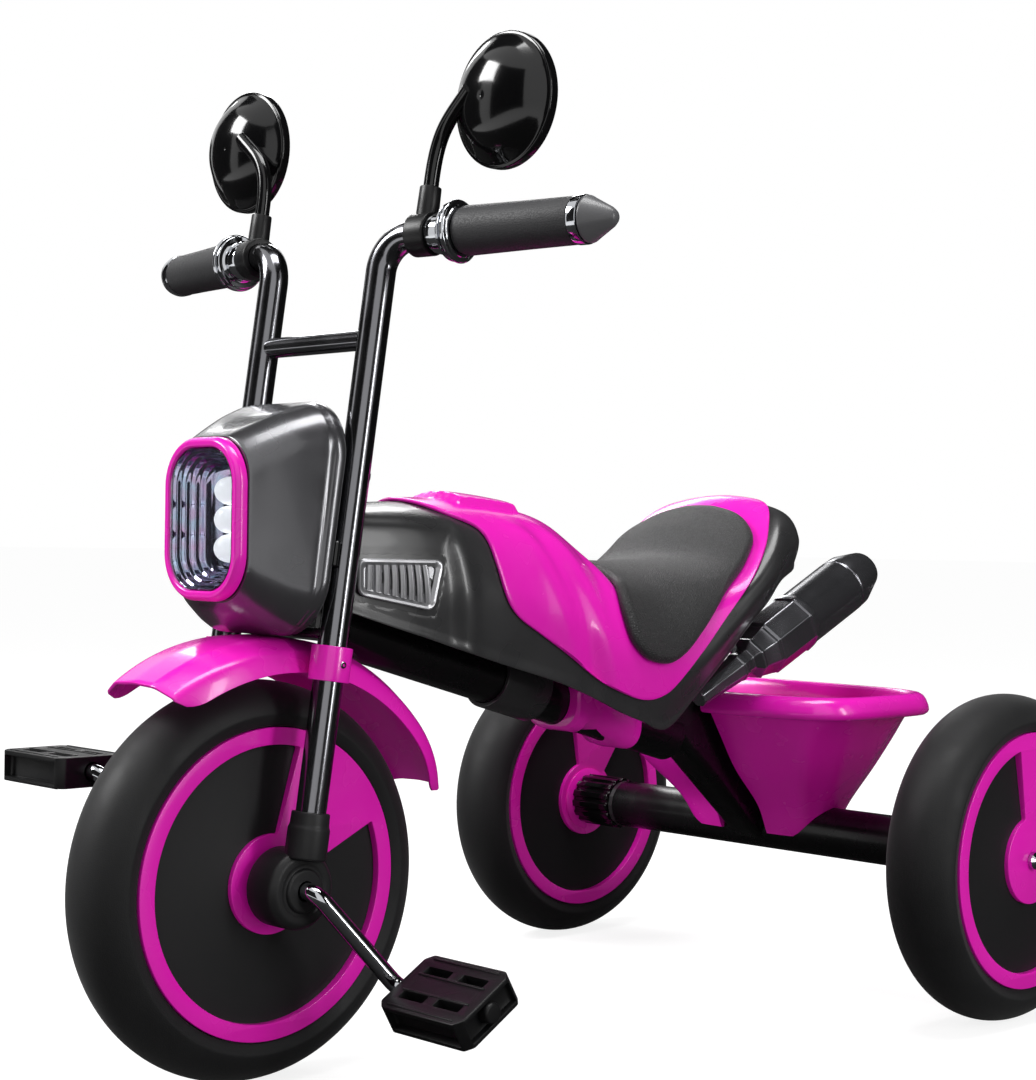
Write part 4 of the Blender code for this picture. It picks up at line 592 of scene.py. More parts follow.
def piece(name, made, finish, body, nodes=None, sharp=32):
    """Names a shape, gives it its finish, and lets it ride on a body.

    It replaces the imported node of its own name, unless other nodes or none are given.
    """
    made.name = made.data.name = name
    made.data.materials.clear()
    made.data.materials.append(bpy.data.materials[finish])
    made.data.shade_smooth()
    made.data.set_sharp_from_angle(angle=math.radians(sharp))
    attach(made, body)
    nodes = [name] if nodes is None else nodes
    if nodes:
        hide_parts(*nodes)


# Finishes

def linear(code):
    """A colour's linear values from its sRGB hex code."""
    values = [int(code[i:i + 2], 16) / 255 for i in (1, 3, 5)]
    return tuple(v / 12.92 if v <= 0.04045 else ((v + 0.055) / 1.055) ** 2.4 for v in values)


def add_node(tree, kind, settings=None, links=None):
    """A node of a kind, with its settings by name and its inputs set or linked by name."""
    node = tree.nodes.new("ShaderNode" + kind)
    for name, value in (settings or {}).items():
        setattr(node, name, value)
    for name, value in (links or {}).items():
        if isinstance(value, bpy.types.NodeSocket):
            tree.links.new(value, node.inputs[name])
        else:
            node.inputs[name].default_value = value
    return node


def new_finish(name, colour, **sockets):
    """A material's node tree and its shader, the shader's own sockets set."""
    made = bpy.data.materials.new(name)
    made.use_nodes = True
    shader = made.node_tree.nodes["Principled BSDF"]
    shader.inputs["Base Color"].default_value = (*colour, 1.0)
    for socket, value in sockets.items():
        shader.inputs[socket.replace("_", " ")].default_value = value
    made.diffuse_color = (*colour, 1.0)
    return made.node_tree, shader


def place_on(tree, stretch=(1, 1, 1)):
    """The point on the piece, in metres."""
    where = add_node(tree, "TexCoord").outputs["Object"]
    return add_node(tree, "Mapping", None, {"Vector": where, "Scale": stretch}).outputs["Vector"]


def grain(tree, where, size, detail, output="Fac"):
    """Soft noise with blobs of a real size."""
    noise = add_node(tree, "TexNoise", None,
                     {"Vector": where, "Scale": 1 / size, "Detail": detail, "Roughness": 0.55})
    return noise.outputs[output]


def relief(tree, shader, height, depth, strength=1.0, under=None):
    """Bumps of a real depth."""
    links = {"Height": height, "Distance": depth, "Strength": strength}
    if under:
        links["Normal"] = under.outputs["Normal"]
    bump = add_node(tree, "Bump", None, links)
    tree.links.new(bump.outputs["Normal"], shader.inputs["Normal"])
    return bump


def vary(tree, shader, source, low, high, socket="Roughness"):
    """A shader value that runs from low to high with a texture."""
    spread = add_node(tree, "MapRange", {"interpolation_type": "SMOOTHSTEP"},
                      {"Value": source, "From Min": 0.3, "From Max": 0.7, "To Min": low, "To Max": high})
    tree.links.new(spread.outputs["Result"], shader.inputs[socket])


def tint(tree, shader, source, first, second):
    """The base colour, between two near tones."""
    mix = add_node(tree, "Mix", {"data_type": "RGBA"})
    mix.inputs["Factor"].default_value = 0.5
    tree.links.new(source, mix.inputs["Factor"])
    mix.inputs[6].default_value = (*first, 1.0)
    mix.inputs[7].default_value = (*second, 1.0)
    tree.links.new(mix.outputs[2], shader.inputs["Base Color"])


def darker(colour, share):
    return tuple(value * share for value in colour)


def moulded_plastic(name, colour, rough, peel, **sockets):
    """Injection-moulded ABS or PP: even colour, faint flow marks, and a faint waviness of the gloss."""
    tree, shader = new_finish(name, colour, IOR=1.5, **sockets)
    where = place_on(tree)
    # flow marks of about 30 mm change the gloss a little
    vary(tree, shader, grain(tree, where, 0.030, 2.0), rough * 0.85, rough * 1.2)
    tint(tree, shader, grain(tree, where, 0.045, 2.0), darker(colour, 0.94), colour)
    # a moulded gloss surface waves over 2 to 3 mm
    relief(tree, shader, grain(tree, where, 0.0025, 2.0), peel, 0.35)


def textured_plastic(name, colour, rough):
    """Plastic from a spark-eroded mould: a fine even grain of about 0.6 mm that spreads the light."""
    tree, shader = new_finish(name, colour, IOR=1.5, Specular_IOR_Level=0.35)
    where = place_on(tree)
    spots = grain(tree, where, 0.0006, 2.0)
    tint(tree, shader, grain(tree, where, 0.040, 3.0), darker(colour, 0.88), colour)
    vary(tree, shader, spots, rough * 0.9, rough * 1.1)
    relief(tree, shader, spots, 0.00006)


def foam_tyre(name, colour):
    """Solid EVA foam with a closed skin: matt, a soft sheen, fine pores and a dusty bloom."""
    tree, shader = new_finish(name, colour, IOR=1.45, Specular_IOR_Level=0.35,
                              Sheen_Weight=0.12, Sheen_Roughness=0.45)
    where = place_on(tree)
    bloom = grain(tree, where, 0.030, 4.0)
    tint(tree, shader, bloom, darker(colour, 0.86), colour)
    vary(tree, shader, bloom, 0.50, 0.62)
    # pores of about 0.8 mm, drawn twice as coarse as the real ones so that they show
    pores = add_node(tree, "TexVoronoi", None, {"Vector": where, "Scale": 1 / 0.0008})
    relief(tree, shader, pores.outputs["Distance"], 0.00005)


def plated_tube(name, colour):
    """Black nickel on drawn steel: a dark mirror with faint smudges and drawing lines."""
    tree, shader = new_finish(name, colour, Metallic=1.0, Coat_Weight=0.5, Coat_Roughness=0.05)
    where = place_on(tree)
    vary(tree, shader, grain(tree, where, 0.040, 4.0), 0.13, 0.20)
    relief(tree, shader, grain(tree, where, 0.012, 1.0), 0.00003)


def powder_coat(name, colour, rough):
    """Black powder coat on steel: a gloss with a low orange peel of about 2 mm."""
    tree, shader = new_finish(name, colour, IOR=1.5)
    where = place_on(tree)
    vary(tree, shader, grain(tree, where, 0.035, 3.0), rough * 0.85, rough * 1.2)
    relief(tree, shader, grain(tree, where, 0.0020, 1.0), 0.00003)


def bright_metal(name, colour, rough):
    """Chrome plate, or plastic with a metal film: a bright mirror with the faintest haze."""
    tree, shader = new_finish(name, colour, Metallic=1.0)
    vary(tree, shader, grain(tree, place_on(tree), 0.020, 3.0), rough * 0.7, rough * 1.5)


def metal_with_painted_reflection(name, first, second, rough):
    """A thin film of metal on plastic, coloured with a painted reflection: its tone drifts between two faint
    painted colours over 8 mm.
    """
    tree, shader = new_finish(name, first, Metallic=1.0)
    where = place_on(tree)
    # the two tones are painted reflection, not the film's own colour
    tint(tree, shader, grain(tree, where, 0.008, 2.0), first, second)
    vary(tree, shader, grain(tree, where, 0.015, 2.0), rough * 0.7, rough * 1.4)


def metallic_lacquer(name, colour, rough, metal):
    """Metallic lacquer on plastic: small flakes under a clear coat."""
    tree, shader = new_finish(name, colour, Metallic=metal, Coat_Weight=0.5, Coat_Roughness=0.08)
    where = place_on(tree)
    # flakes of about 0.5 mm, coarser than real ones so that they show
    flakes = add_node(tree, "TexVoronoi", None, {"Vector": where, "Scale": 1 / 0.0005})
    tint(tree, shader, flakes.outputs["Color"], darker(colour, 0.85), colour)
    vary(tree, shader, grain(tree, where, 0.030, 2.0), rough * 0.85, rough * 1.15)
    relief(tree, shader, flakes.outputs["Distance"], 0.00001)


def soft_rubber(name, colour):
    """Moulded rubber with a fine stipple of about 0.9 mm."""
    tree, shader = new_finish(name, colour, IOR=1.5)
    where = place_on(tree)
    dots = add_node(tree, "TexVoronoi", None, {"Vector": where, "Scale": 1 / 0.0009})
    tint(tree, shader, grain(tree, where, 0.020, 4.0), darker(colour, 0.85), colour)
    vary(tree, shader, dots.outputs["Distance"], 0.5, 0.65)
    relief(tree, shader, dots.outputs["Distance"], 0.00010)


def grained_vinyl(name, colour):
    """Vinyl embossed with a leather grain of about 1.6 mm, polished a little on its high spots."""
    tree, shader = new_finish(name, colour, IOR=1.5, Sheen_Weight=0.12)
    where = place_on(tree, (1.0, 0.75, 1.0))
    warp = grain(tree, where, 0.004, 2.0, "Color")
    shift = add_node(tree, "VectorMath", {"operation": "SCALE"}, {0: warp})
    shift.inputs["Scale"].default_value = 0.0016
    bent = add_node(tree, "VectorMath", {"operation": "ADD"}, {0: where})
    tree.links.new(shift.outputs["Vector"], bent.inputs[1])
    cells = add_node(tree, "TexVoronoi", {"feature": "DISTANCE_TO_EDGE"},
                     {"Vector": bent.outputs["Vector"], "Scale": 1 / 0.0016})
    plump = add_node(tree, "MapRange", None, {"Value": cells.outputs["Distance"], "From Max": 0.28})
    tint(tree, shader, plump.outputs["Result"], darker(colour, 0.72), colour)
    shine = add_node(tree, "MapRange", None,
                     {"Value": plump.outputs["Result"], "To Min": 0.62, "To Max": 0.42})
    tree.links.new(shine.outputs["Result"], shader.inputs["Roughness"])
    fine = relief(tree, shader, grain(tree, where, 0.0004, 2.0), 0.00003)
    relief(tree, shader, plump.outputs["Result"], 0.00022, under=fine)


def clear_plastic(name, colour):
    """Clear polycarbonate: hardly tinted, with a trace of haze."""
    tree, shader = new_finish(name, colour, IOR=1.58, Transmission_Weight=1.0)
    vary(tree, shader, grain(tree, place_on(tree), 0.020, 2.0), 0.01, 0.03)


def opal_plastic(name, colour):
    """A milky lamp cover with its light on: white, with a little light coming through it."""
    tree, shader = new_finish(name, colour, IOR=1.5, Emission_Color=(*colour, 1.0),
                              Emission_Strength=0.85)
    vary(tree, shader, grain(tree, place_on(tree), 0.008, 2.0), 0.18, 0.26)


SLOT_OF = {
    "pink gloss ABS": "pink_plastic",
    "charcoal satin ABS": "charcoal_plastic",
    "charcoal textured PP": "charcoal_plastic",
    "grey satin ABS": "charcoal_plastic",
    "black gloss ABS": "black_plastic",
    "black textured nylon": "black_plastic",
    "gunmetal lacquer on ABS": "gunmetal_paint",
    "black nickel plate": "black_chrome",
    "black powder coat": "black_paint",
    "smoked lacquer on ABS": "black_chrome",
    "bright chrome plate": "chrome",
    "metallised plastic": "reflector_chrome",
    "silver lacquer on ABS": "silver_plastic",
    "EVA foam tyre": "tyre_foam",
    "stippled rubber": "grip_rubber",
    "grained vinyl": "grained_vinyl",
    "clear polycarbonate": "clear_lens",
    "silvered glass": "mirror_face",
    "lit opal plastic": "clear_lens",
}
SLOT_FINISH = {slot: finish for finish, slot in reversed(list(SLOT_OF.items()))}


def make_finishes(colours):
    """Every material, three of its colours from the panel."""
    pink, charcoal, black = colours.pink[:], colours.charcoal[:], colours.black[:]
    moulded_plastic("pink gloss ABS", pink, 0.24, 0.00003, Coat_Weight=0.35, Coat_Roughness=0.06)
    moulded_plastic("charcoal satin ABS", charcoal, 0.30, 0.00003, Coat_Weight=0.25, Coat_Roughness=0.12)
    moulded_plastic("black gloss ABS", black, 0.12, 0.00002, Coat_Weight=0.15, Specular_IOR_Level=0.4)
    moulded_plastic("grey satin ABS", linear("#5C5C5E"), 0.34, 0.00003, Coat_Weight=0.15)
    textured_plastic("charcoal textured PP", linear("#202021"), 0.46)
    textured_plastic("black textured nylon", linear("#141415"), 0.38)
    foam_tyre("EVA foam tyre", linear("#1A1A1B"))
    plated_tube("black nickel plate", linear("#77777B"))
    powder_coat("black powder coat", black, 0.26)
    bright_metal("bright chrome plate", linear("#BFC1C5"), 0.05)
    metallic_lacquer("smoked lacquer on ABS", linear("#85858A"), 0.22, 0.9)
    # painted reflection: the reflector's cyan and pink tones stand in for the colours it reflects
    metal_with_painted_reflection("metallised plastic", linear("#9CCBD6"), linear("#CF93B8"), 0.05)
    bright_metal("silvered glass", linear("#F0F2F4"), 0.012)
    metallic_lacquer("gunmetal lacquer on ABS", linear("#636366"), 0.24, 0.7)
    metallic_lacquer("silver lacquer on ABS", linear("#A8A8AB"), 0.34, 0.7)
    soft_rubber("stippled rubber", linear("#2E2E30"))
    grained_vinyl("grained vinyl", linear("#242425"))
    clear_plastic("clear polycarbonate", linear("#F4F7FA"))
    opal_plastic("lit opal plastic", linear("#F4F6F8"))


# The body's skin

@functools.lru_cache(maxsize=None)
def section_at(y):
    """Ridge, shoulder, widest line and hem of the body's section, as (half width, height)."""
    def value(pick):
        return blend([(section[0], pick(section)) for section in BODY_SECTIONS], y)
    corners = [(0.0, value(lambda s: s[1]))]
    for k in (2, 3, 4):
        corners.append((value(lambda s, k=k: s[k][0]), value(lambda s, k=k: s[k][1])))
    corners = [(-corners[1][0], corners[1][1])] + corners
    corners.append((2 * corners[4][0] - corners[3][0], 2 * corners[4][1] - corners[3][1]))
    return corners


def plain_skin(y, share):
    """A point of the body's plain skin: share 0 is its ridge, 1 the left hem and -1 the right hem."""
    corners = section_at(y)
    along = min(abs(share), 1.0) * 3
    k = min(int(along), 2)
    s = along - k
    weights = (
        (-s + 2 * s**2 - s**3) / 2,
        (2 - 5 * s**2 + 3 * s**3) / 2,
        (s + 4 * s**2 - 3 * s**3) / 2,
        (-(s**2) + s**3) / 2,
    )
    x = sum(w * corners[k + n][0] for n, w in enumerate(weights))
    z = sum(w * corners[k + n][1] for n, w in enumerate(weights))
    front = BODY_ENDS[0]
    fade = max(0.0, 1 - (y - front) / (BODY_SECTIONS[1][0] - front))
    lean = (z - AXIS_Z) * math.tan(RAKE) + AXIS_Y - front
    return Vector((math.copysign(x, share), y + fade * lean, z))


def skin(y, share, offset=0.0):
    """A point of the skin, raised along its normal."""
    step = 0.0004
    y_before, y_after = max(y - step, BODY_ENDS[0]), min(y + step, BODY_ENDS[1])
    inner = min(max(share, -1 + step), 1 - step)
    along = plain_skin(y_after, share) - plain_skin(y_before, share)
    across = plain_skin(y, inner + step) - plain_skin(y, inner - step)
    return plain_skin(y, share) + along.cross(across).normalized() * -offset


def flank_share(y, z):
    """The share of the skin's line at y that passes a height on the flank."""
    low, high = 0.2, 1.0
    for _ in range(24):
        middle = (low + high) / 2
        if plain_skin(y, middle).z > z:
            low = middle
        else:
            high = middle
    return (low + high) / 2


def flank(y, z, side, offset=0.0):
    return skin(y, side * flank_share(y, z), offset)


def half_loop(outline, count):
    """A smooth closed loop through a half outline and its mirror."""
    path = soft_path([(y, share, 0) for y, share in outline], count)
    half = [(point.x, max(point.y, 0.0)) for point in path]
    return half + [(y, -share) for y, share in half[-2:0:-1]]


def skin_rings(loop, steps, height=None):
    """Rings on the skin, each a share of the way out to the loop and at an offset."""
    middle = (loop[0][0] + loop[len(loop) // 2][0]) / 2
    rings = []
    for out, offset in steps:
        ring = []
        for y, share in loop:
            at_y, at_share = middle + (y - middle) * out, share * out
            lift = height(at_y, at_share, out) if height else 0.0
            ring.append(skin(at_y, at_share, offset + lift))
        rings.append(ring)
    return rings


def inside(corners, y, z):
    """How far a point lies inside a polygon whose corners run clockwise, seen with z up."""
    depth = 1.0
    for (y0, z0), (y1, z1) in zip(corners, corners[1:] + corners[:1]):
        length = math.hypot(y1 - y0, z1 - z0)
        depth = min(depth, ((y - y0) * (z1 - z0) - (z - z0) * (y1 - y0)) / length)
    return depth


# Pieces

def make_wheel(names, radius, depth, place, body, wedge, sides, sleeve=None):
    """A foam tyre on a dished disc, with a pink ring, spoke and hub plate let into each face.

    A sleeve, given by its reach and its side, is a piece of its own, made black as painted shade.
    """
    bore = radius - depth
    shoulder = TRIM_FACE - TRIM_THICKNESS / 2
    section = [(bore, shoulder)]
    for turn in spaced(math.radians(12), math.radians(168), 37):
        section.append((bore + depth * math.sin(turn) ** 0.85, TYRE_WIDTH / 2 * math.cos(turn)))
    section.append((bore, -shoulder))
    tyre = lathe(section, 0.001, 3, place @ ALONG_X, WHEEL_SIDES, looped=True)
    piece(names[0], tyre, "EVA foam tyre", body)

    hole = (AXLE_ROD_RADIUS if sleeve else CRANK_RADIUS) + SEAT_GAP
    disc = bore - SEAT_GAP
    ring_inner = bore - RING_WIDTH
    face = DISC_WIDTH / 2
    half = [(hole, face + 0.0002), (HUB_RADIUS, face), (HUB_RADIUS + 0.003, face - 0.0004),
            (ring_inner - 0.004, face - DISC_DISH), (ring_inner + 0.001, face - DISC_DISH), (disc, face)]
    profile = half + [(r, -x) for r, x in reversed(half)]
    made = lathe(profile, 0.0015, 3, place @ ALONG_X, WHEEL_SIDES, looped=True)
    piece(names[1], made, "charcoal textured PP", body)

    for side, name in sides:
        start, end = wedge
        outline = arc(ring_inner, end, start + 2 * math.pi, 110)
        outline += arc(HUB_RADIUS, start + 2 * math.pi - 0.10, end + 0.10, 60)
        loops = [circle(disc - 0.0004, WHEEL_SIDES), eased(outline, 0.0012, 3, least=0.5), circle(hole, 32)]
        low = face - DISC_DISH - 0.0004
        trim = plate(loops, TRIM_FACE - low, place @ moved(side * (TRIM_FACE + low) / 2, 0, 0)
                     @ FACING_X, 0.0005)
        if sleeve and sleeve[1] == side:
            ribbed, flange = sleeve_shapes(place, side, sleeve[0], hole)
            grouped(trim, flange)
            # painted shade: the ribbed sleeve, moulded pink with the inner trim in the part file, is made
            # black gloss to match how dark it looks in the shade by the axle
            piece(name.replace("rear_trim_inner", "rear_sleeve"), ribbed, "black gloss ABS", body, nodes=())
        piece(name, trim, "pink gloss ABS", body)


def sleeve_shapes(place, side, reach, hole):
    """The ribbed spacer between a rear wheel and the frame, with its foot flange."""
    outline = []
    for i in range(SLEEVE_RIBS):
        for share, sunk in ((0.0, 0.0), (0.50, 0.0), (0.62, SLEEVE_GROOVE), (0.88, SLEEVE_GROOVE)):
            turn = 2 * math.pi * (i + share) / SLEEVE_RIBS
            radius = SLEEVE_RADIUS - sunk
            outline.append((radius * math.cos(turn), radius * math.sin(turn)))
    low = TRIM_FACE - 0.0004
    middle = moved(side * (low + reach) / 2, 0, 0)
    loops = [eased(outline, 0.0008, 3), circle(hole, 32)]
    ribbed = plate(loops, reach - low, place @ middle @ FACING_X, 0.0006)
    steps = ((-0.003, 0.0), (0.0045, 0.0), (0.0045, 0.0016), (-0.0005, 0.0040), (-0.003, 0.0040))
    flange = [(SLEEVE_RADIUS + out, side * (low + up)) for out, up in steps]
    return ribbed, lathe(flange, 0.0006, 2, place @ ALONG_X, 72, looped=True)


def make_front_wheel():
    make_wheel(("front_tyre", "front_wheel_disc"), FRONT_RADIUS, FRONT_TYRE_DEPTH, FRONT_AXLE, "front_wheel",
               FRONT_WEDGE, ((1, "front_wheel_trim_left"), (-1, "front_wheel_trim_right")))


def make_rear_wheels():
    end = AXLE_TUBE_LENGTH / 2
    reach = REAR_TRACK / 2 - end - SEAT_GAP - 0.004 - RUNNING_GAP
    for side, name in SIDES:
        place = ORIGIN @ moved(side * REAR_TRACK / 2, WHEELBASE, REAR_RADIUS)
        sides = ((side, "rear_trim_outer_" + name), (-side, "rear_trim_inner_" + name))
        make_wheel(("rear_tyre_" + name, "rear_wheel_disc_" + name), REAR_RADIUS, REAR_TYRE_DEPTH, place,
                   "rear_wheel_" + name, REAR_WEDGE, sides, (reach, -side))


def make_crank():
    """One chrome bar bent into the axle and both cranks."""
    back = CRANK_THROW * math.cos(CRANK_ANGLE)
    down = CRANK_THROW * math.sin(CRANK_ANGLE)
    start = BOSS_OUTER + BOSS_NOSE + CRANK_BEND * 0.82 + RUNNING_GAP
    bend = PEDAL_INNER - CRANK_BEND * 0.82
    end = PEDAL_INNER + PEDAL_WIDTH - 0.006
    path = [(-end, -back, -down), (-bend, -back, -down), (-start, 0, 0)]
    path += [(start, 0, 0), (bend, back, down), (end, back, down)]
    bar = swept(bent_path(path, CRANK_BEND), CRANK_RADIUS, FRONT_AXLE)
    piece("crank_axle", bar, "bright chrome plate", "front_wheel")
    for side, name in SIDES:
        make_pedal(name, side, FRONT_AXLE @ moved(0, side * back, side * down))


def make_pedal(name, side, axle):
    """A pedal: two slotted treads on a core, hollow at the front and rear edge, with tread ribs."""
    tilt = PEDAL_TILT if side > 0 else 0.0
    middle = side * (PEDAL_INNER + PEDAL_WIDTH / 2)
    seat = axle @ moved(middle, 0, 0) @ Matrix.Rotation(tilt, 4, "X")
    outline = eased(rounded_rectangle(PEDAL_WIDTH, PEDAL_LENGTH, 0.005, 1), 0.0015, 3)
    pedal = plate([outline], PEDAL_HEIGHT, seat, 0.0007)
    slot = rounded_rectangle(*PEDAL_SLOT, 0.0012, 3)
    for u in (-1, 1):
        for v in (-1, 1):
            spot = (u * (PEDAL_SLOT[0] + PEDAL_RIB) / 2, v * (PEDAL_CORE + PEDAL_SLOT[1]) / 2, 0)
            cut(pedal, plate([slot], 2 * PEDAL_HEIGHT, seat @ Matrix.Translation(spot), 0.0001))
    inner = PEDAL_HEIGHT - 2 * PEDAL_PLATE
    recess = rounded_rectangle(PEDAL_WIDTH * 0.84, 2 * PEDAL_RECESS, 0.002, 3)
    for v in (-1, 1):
        spot = moved(0, v * PEDAL_LENGTH / 2, 0)
        cut(pedal, plate([recess], inner, seat @ spot, 0.0001))
    end = rounded_rectangle(2 * PEDAL_END, PEDAL_LENGTH * 0.80, 0.002, 3)
    cut(pedal, plate([end], inner, seat @ moved(side * PEDAL_WIDTH / 2, 0, 0), 0.0001))
    cut(pedal, rod(CRANK_RADIUS + RUNNING_GAP, -PEDAL_WIDTH, PEDAL_WIDTH / 2 - 0.004,
                   seat @ facing_out(side)))
    softened(pedal, 0.0004, 2, 40)
    ribs = []
    for top in (-1, 1):
        for v in spaced(-0.43, 0.43, 4):
            rib = rounded_rectangle(PEDAL_WIDTH * 0.80, 0.0016, 0.0007, 3)
            spot = (0, v * PEDAL_LENGTH, top * (PEDAL_HEIGHT / 2 + 0.0001))
            ribs.append(plate([rib], 0.0010, seat @ Matrix.Translation(spot), 0.0003, 1))
    cap = [(0, 0.0026), (0.0056, 0.0026), (0.0064, 0.0014), (0.0064, -0.0055), (0, -0.0055)]
    outward = seat @ moved(side * PEDAL_WIDTH / 2, 0, 0) @ facing_out(side)
    ribs.append(lathe(cap, 0.0006, 3, outward, 40))
    piece("pedal_" + name, grouped(pedal, *ribs), "black textured nylon", "pedal_" + name)


def on_leg(side, height):
    """The place on a fork leg's centre line at a height over the steering frame's origin."""
    return STEERING @ moved(side * LEG_X, -LEG_LEAD, height)


def along_bar(side, reach):
    """A point of the handlebar's centre line, at a distance from its corner, and its direction."""
    out = Vector((side * math.cos(BAR_SWEEP), math.sin(BAR_SWEEP), math.tan(BAR_LIFT))).normalized()
    return Vector((side * LEG_X, -LEG_LEAD, BAR_RISE)) + out * reach, out


def bar_place(side, reach):
    """The place whose z runs outward along the bar."""
    spot, out = along_bar(side, reach)
    return STEERING @ Matrix.Translation(spot) @ pointing(out)


def make_fork():
    """Two bent tubes, each a fork leg and a handlebar end, their crossbar and the crown plates."""
    for side, name in SIDES:
        ends = (along_bar(side, 0.0)[0], along_bar(side, BAR_REACH)[0])
        path = bent_path([(side * LEG_X, -LEG_LEAD, LEG_FOOT), *ends], BAR_BEND, 20)
        bar = swept(path, TUBE_RADIUS, STEERING, 56, TUBE_WALL)
        piece("fork_bar_" + name, bar, "black nickel plate", "steering")
    bridge = rod(BRIDGE_RADIUS, -LEG_X, LEG_X, STEERING @ moved(0, -LEG_LEAD, BRIDGE_RISE) @ ALONG_X)
    for side, name in SIDES:
        leg = on_leg(side, BRIDGE_RISE)
        cut(bridge, rod(TUBE_RADIUS + SEAT_GAP, -0.03, 0.03, leg, 56))
    piece("handlebar_bridge", bridge, "black nickel plate", "steering")
    upper = HEAD_FOOT + HEAD_LENGTH + BUSH_LIP + 2 * SEAT_GAP
    lower = HEAD_FOOT - BUSH_LIP - 2 * SEAT_GAP - CROWN_THICKNESS
    for name, foot in (("fork_crown_upper", upper), ("fork_crown_lower", lower)):
        lean = math.atan2(LEG_LEAD, LEG_X)
        seat = TUBE_RADIUS + SEAT_GAP
        outline = [(LEG_X, -LEG_LEAD - seat - 0.0002)]
        outline += arc(seat, 3 * math.pi / 2, math.pi / 2, 24, (LEG_X, -LEG_LEAD))
        outline += arc(CROWN_BOSS, math.pi / 2, math.pi / 2 - lean, 3, (LEG_X - 0.004, -LEG_LEAD))
        outline += arc(CROWN_HUB, math.pi / 2 - lean, math.pi / 2 + lean, 12)
        outline += arc(CROWN_BOSS, math.pi / 2 + lean, math.pi / 2, 3, (0.004 - LEG_X, -LEG_LEAD))
        outline += arc(seat, math.pi / 2, -math.pi / 2, 24, (-LEG_X, -LEG_LEAD))
        outline += [(-LEG_X, -LEG_LEAD - seat - 0.0002)]
        loops = [outline]
        if name == "fork_crown_upper":
            loops.append(circle(STEM_RADIUS + SEAT_GAP, 40))
        middle = moved(0, 0, foot + CROWN_THICKNESS / 2)
        crown = plate(loops, CROWN_THICKNESS, STEERING @ middle, 0.0007)
        if name == "fork_crown_lower":
            stem = rod(STEM_RADIUS, foot + 0.001, upper + CROWN_THICKNESS + 0.010, STEERING, edge=0.001)
            grouped(crown, stem)
        piece(name, crown, "black powder coat", "steering")


def make_fork_ends():
    """A moulded boot on each leg with the boss that the crank turns in."""
    for side, name in SIDES:
        leg = on_leg(side, 0)
        profile = [(0, BOOT_TOP), (BOOT_RADIUS, BOOT_TOP), (BOOT_RADIUS + 0.0003, BOOT_TOP - 0.008),
                   (BOOT_COLLAR, BOOT_TOP - 0.010), (BOOT_COLLAR, BOOT_FOOT), (0, BOOT_FOOT - 0.002)]
        boot = lathe(profile, 0.0012, 4, leg, 56)
        middle = side * (BOSS_INNER + BOSS_OUTER) / 2
        half = (BOSS_OUTER - BOSS_INNER) / 2
        nose = half + BOSS_NOSE
        steps = [(0, nose), (NOSE_RADIUS - 0.001, nose), (NOSE_RADIUS, nose - 0.001),
                 (NOSE_RADIUS, half - 0.0004), (0.0155, half - 0.0004), (0.0165, half),
                 (BOSS_RADIUS - 0.0035, half), (BOSS_RADIUS, half - 0.0035), (BOSS_RADIUS, -half),
                 (0, -half)]
        outward = STEERING @ moved(middle, -LEG_LEAD, 0) @ facing_out(side)
        join(boot, lathe(steps, 0.0016, 4, outward, 72))
        cut(boot,
            rod(TUBE_RADIUS + SEAT_GAP, LEG_FOOT - SEAT_GAP, 2 * BOOT_TOP, leg, 56),
            rod(CRANK_RADIUS + RUNNING_GAP, -0.05, 0.05, outward, 40))
        softened(boot, 0.0009, 3, 42)
        piece("fork_end_" + name, boot, "charcoal textured PP", "steering")


def make_fender():
    """The front fender: a flat crown with sloping sides, a clamp round each leg and its screws."""
    outer, inner = [], []
    for share in spaced(0, 1, FENDER_ROWS):
        turn = FENDER_ENDS[0] + (FENDER_ENDS[1] - FENDER_ENDS[0]) * share - RAKE
        taper = 1 - 0.10 * max(0.0, 1 - share / 0.25) ** 2 - 0.25 * max(0.0, (share - 0.8) / 0.2) ** 2
        edge, knee, brow = FENDER_HALF * taper, FENDER_HALF * 0.86 * taper, FENDER_FLAT * taper
        bend = FENDER_DROP * 0.42
        # the lower corners are rounded at both ends
        near = min(share / 0.07, (1 - share) / 0.05, 1.0)
        kept = 0.2 + 0.8 * math.sqrt(1 - (1 - near) ** 2)
        edge, drop = knee + (edge - knee) * kept, bend + (FENDER_DROP - bend) * kept
        half = [(brow, 0.0015), (knee, bend), (edge, drop)]
        section = [(-x, d) for x, d in reversed(half)] + [(0, 0)] + half
        half = [(brow - 0.0008, 0.0015 + FENDER_WALL), (knee - FENDER_WALL, bend + 0.001),
                (edge - FENDER_WALL * 1.1, drop)]
        wall = [(-x, d) for x, d in reversed(half)] + [(0, FENDER_WALL)] + half
        for rows, shape in ((outer, section), (inner, wall)):
            line = eased(shape, 0.0035, 6, closed=False, least=0.0)
            arms = [(x, FENDER_RADIUS - d) for x, d in line]
            rows.append([(x, -LEG_LEAD + arm * math.sin(turn), arm * math.cos(turn)) for x, arm in arms])
    rings = [top + low[::-1] for top, low in zip(outer, inner)]
    fender = softened(loft(rings, STEERING), 0.0007, 2, 50)
    screws = []
    for side, _ in SIDES:
        leg = on_leg(side, CLAMP_FOOT)
        bore = TUBE_RADIUS + SEAT_GAP
        ring = [(bore, CLAMP_HEIGHT), (CLAMP_RADIUS, CLAMP_HEIGHT), (CLAMP_RADIUS, 0), (bore, 0)]
        join(fender, lathe(ring, 0.0006, 3, leg, 56, looped=True))
        outward = leg @ moved(side * (CLAMP_RADIUS - 0.0004), 0, CLAMP_HEIGHT / 2)
        screws.append(turned(SCREW_HEAD, outward @ facing_out(side), 24))
    piece("front_fender", fender, "pink gloss ABS", "steering")
    piece("fender_screws", grouped(*screws), "bright chrome plate", "steering", nodes=())


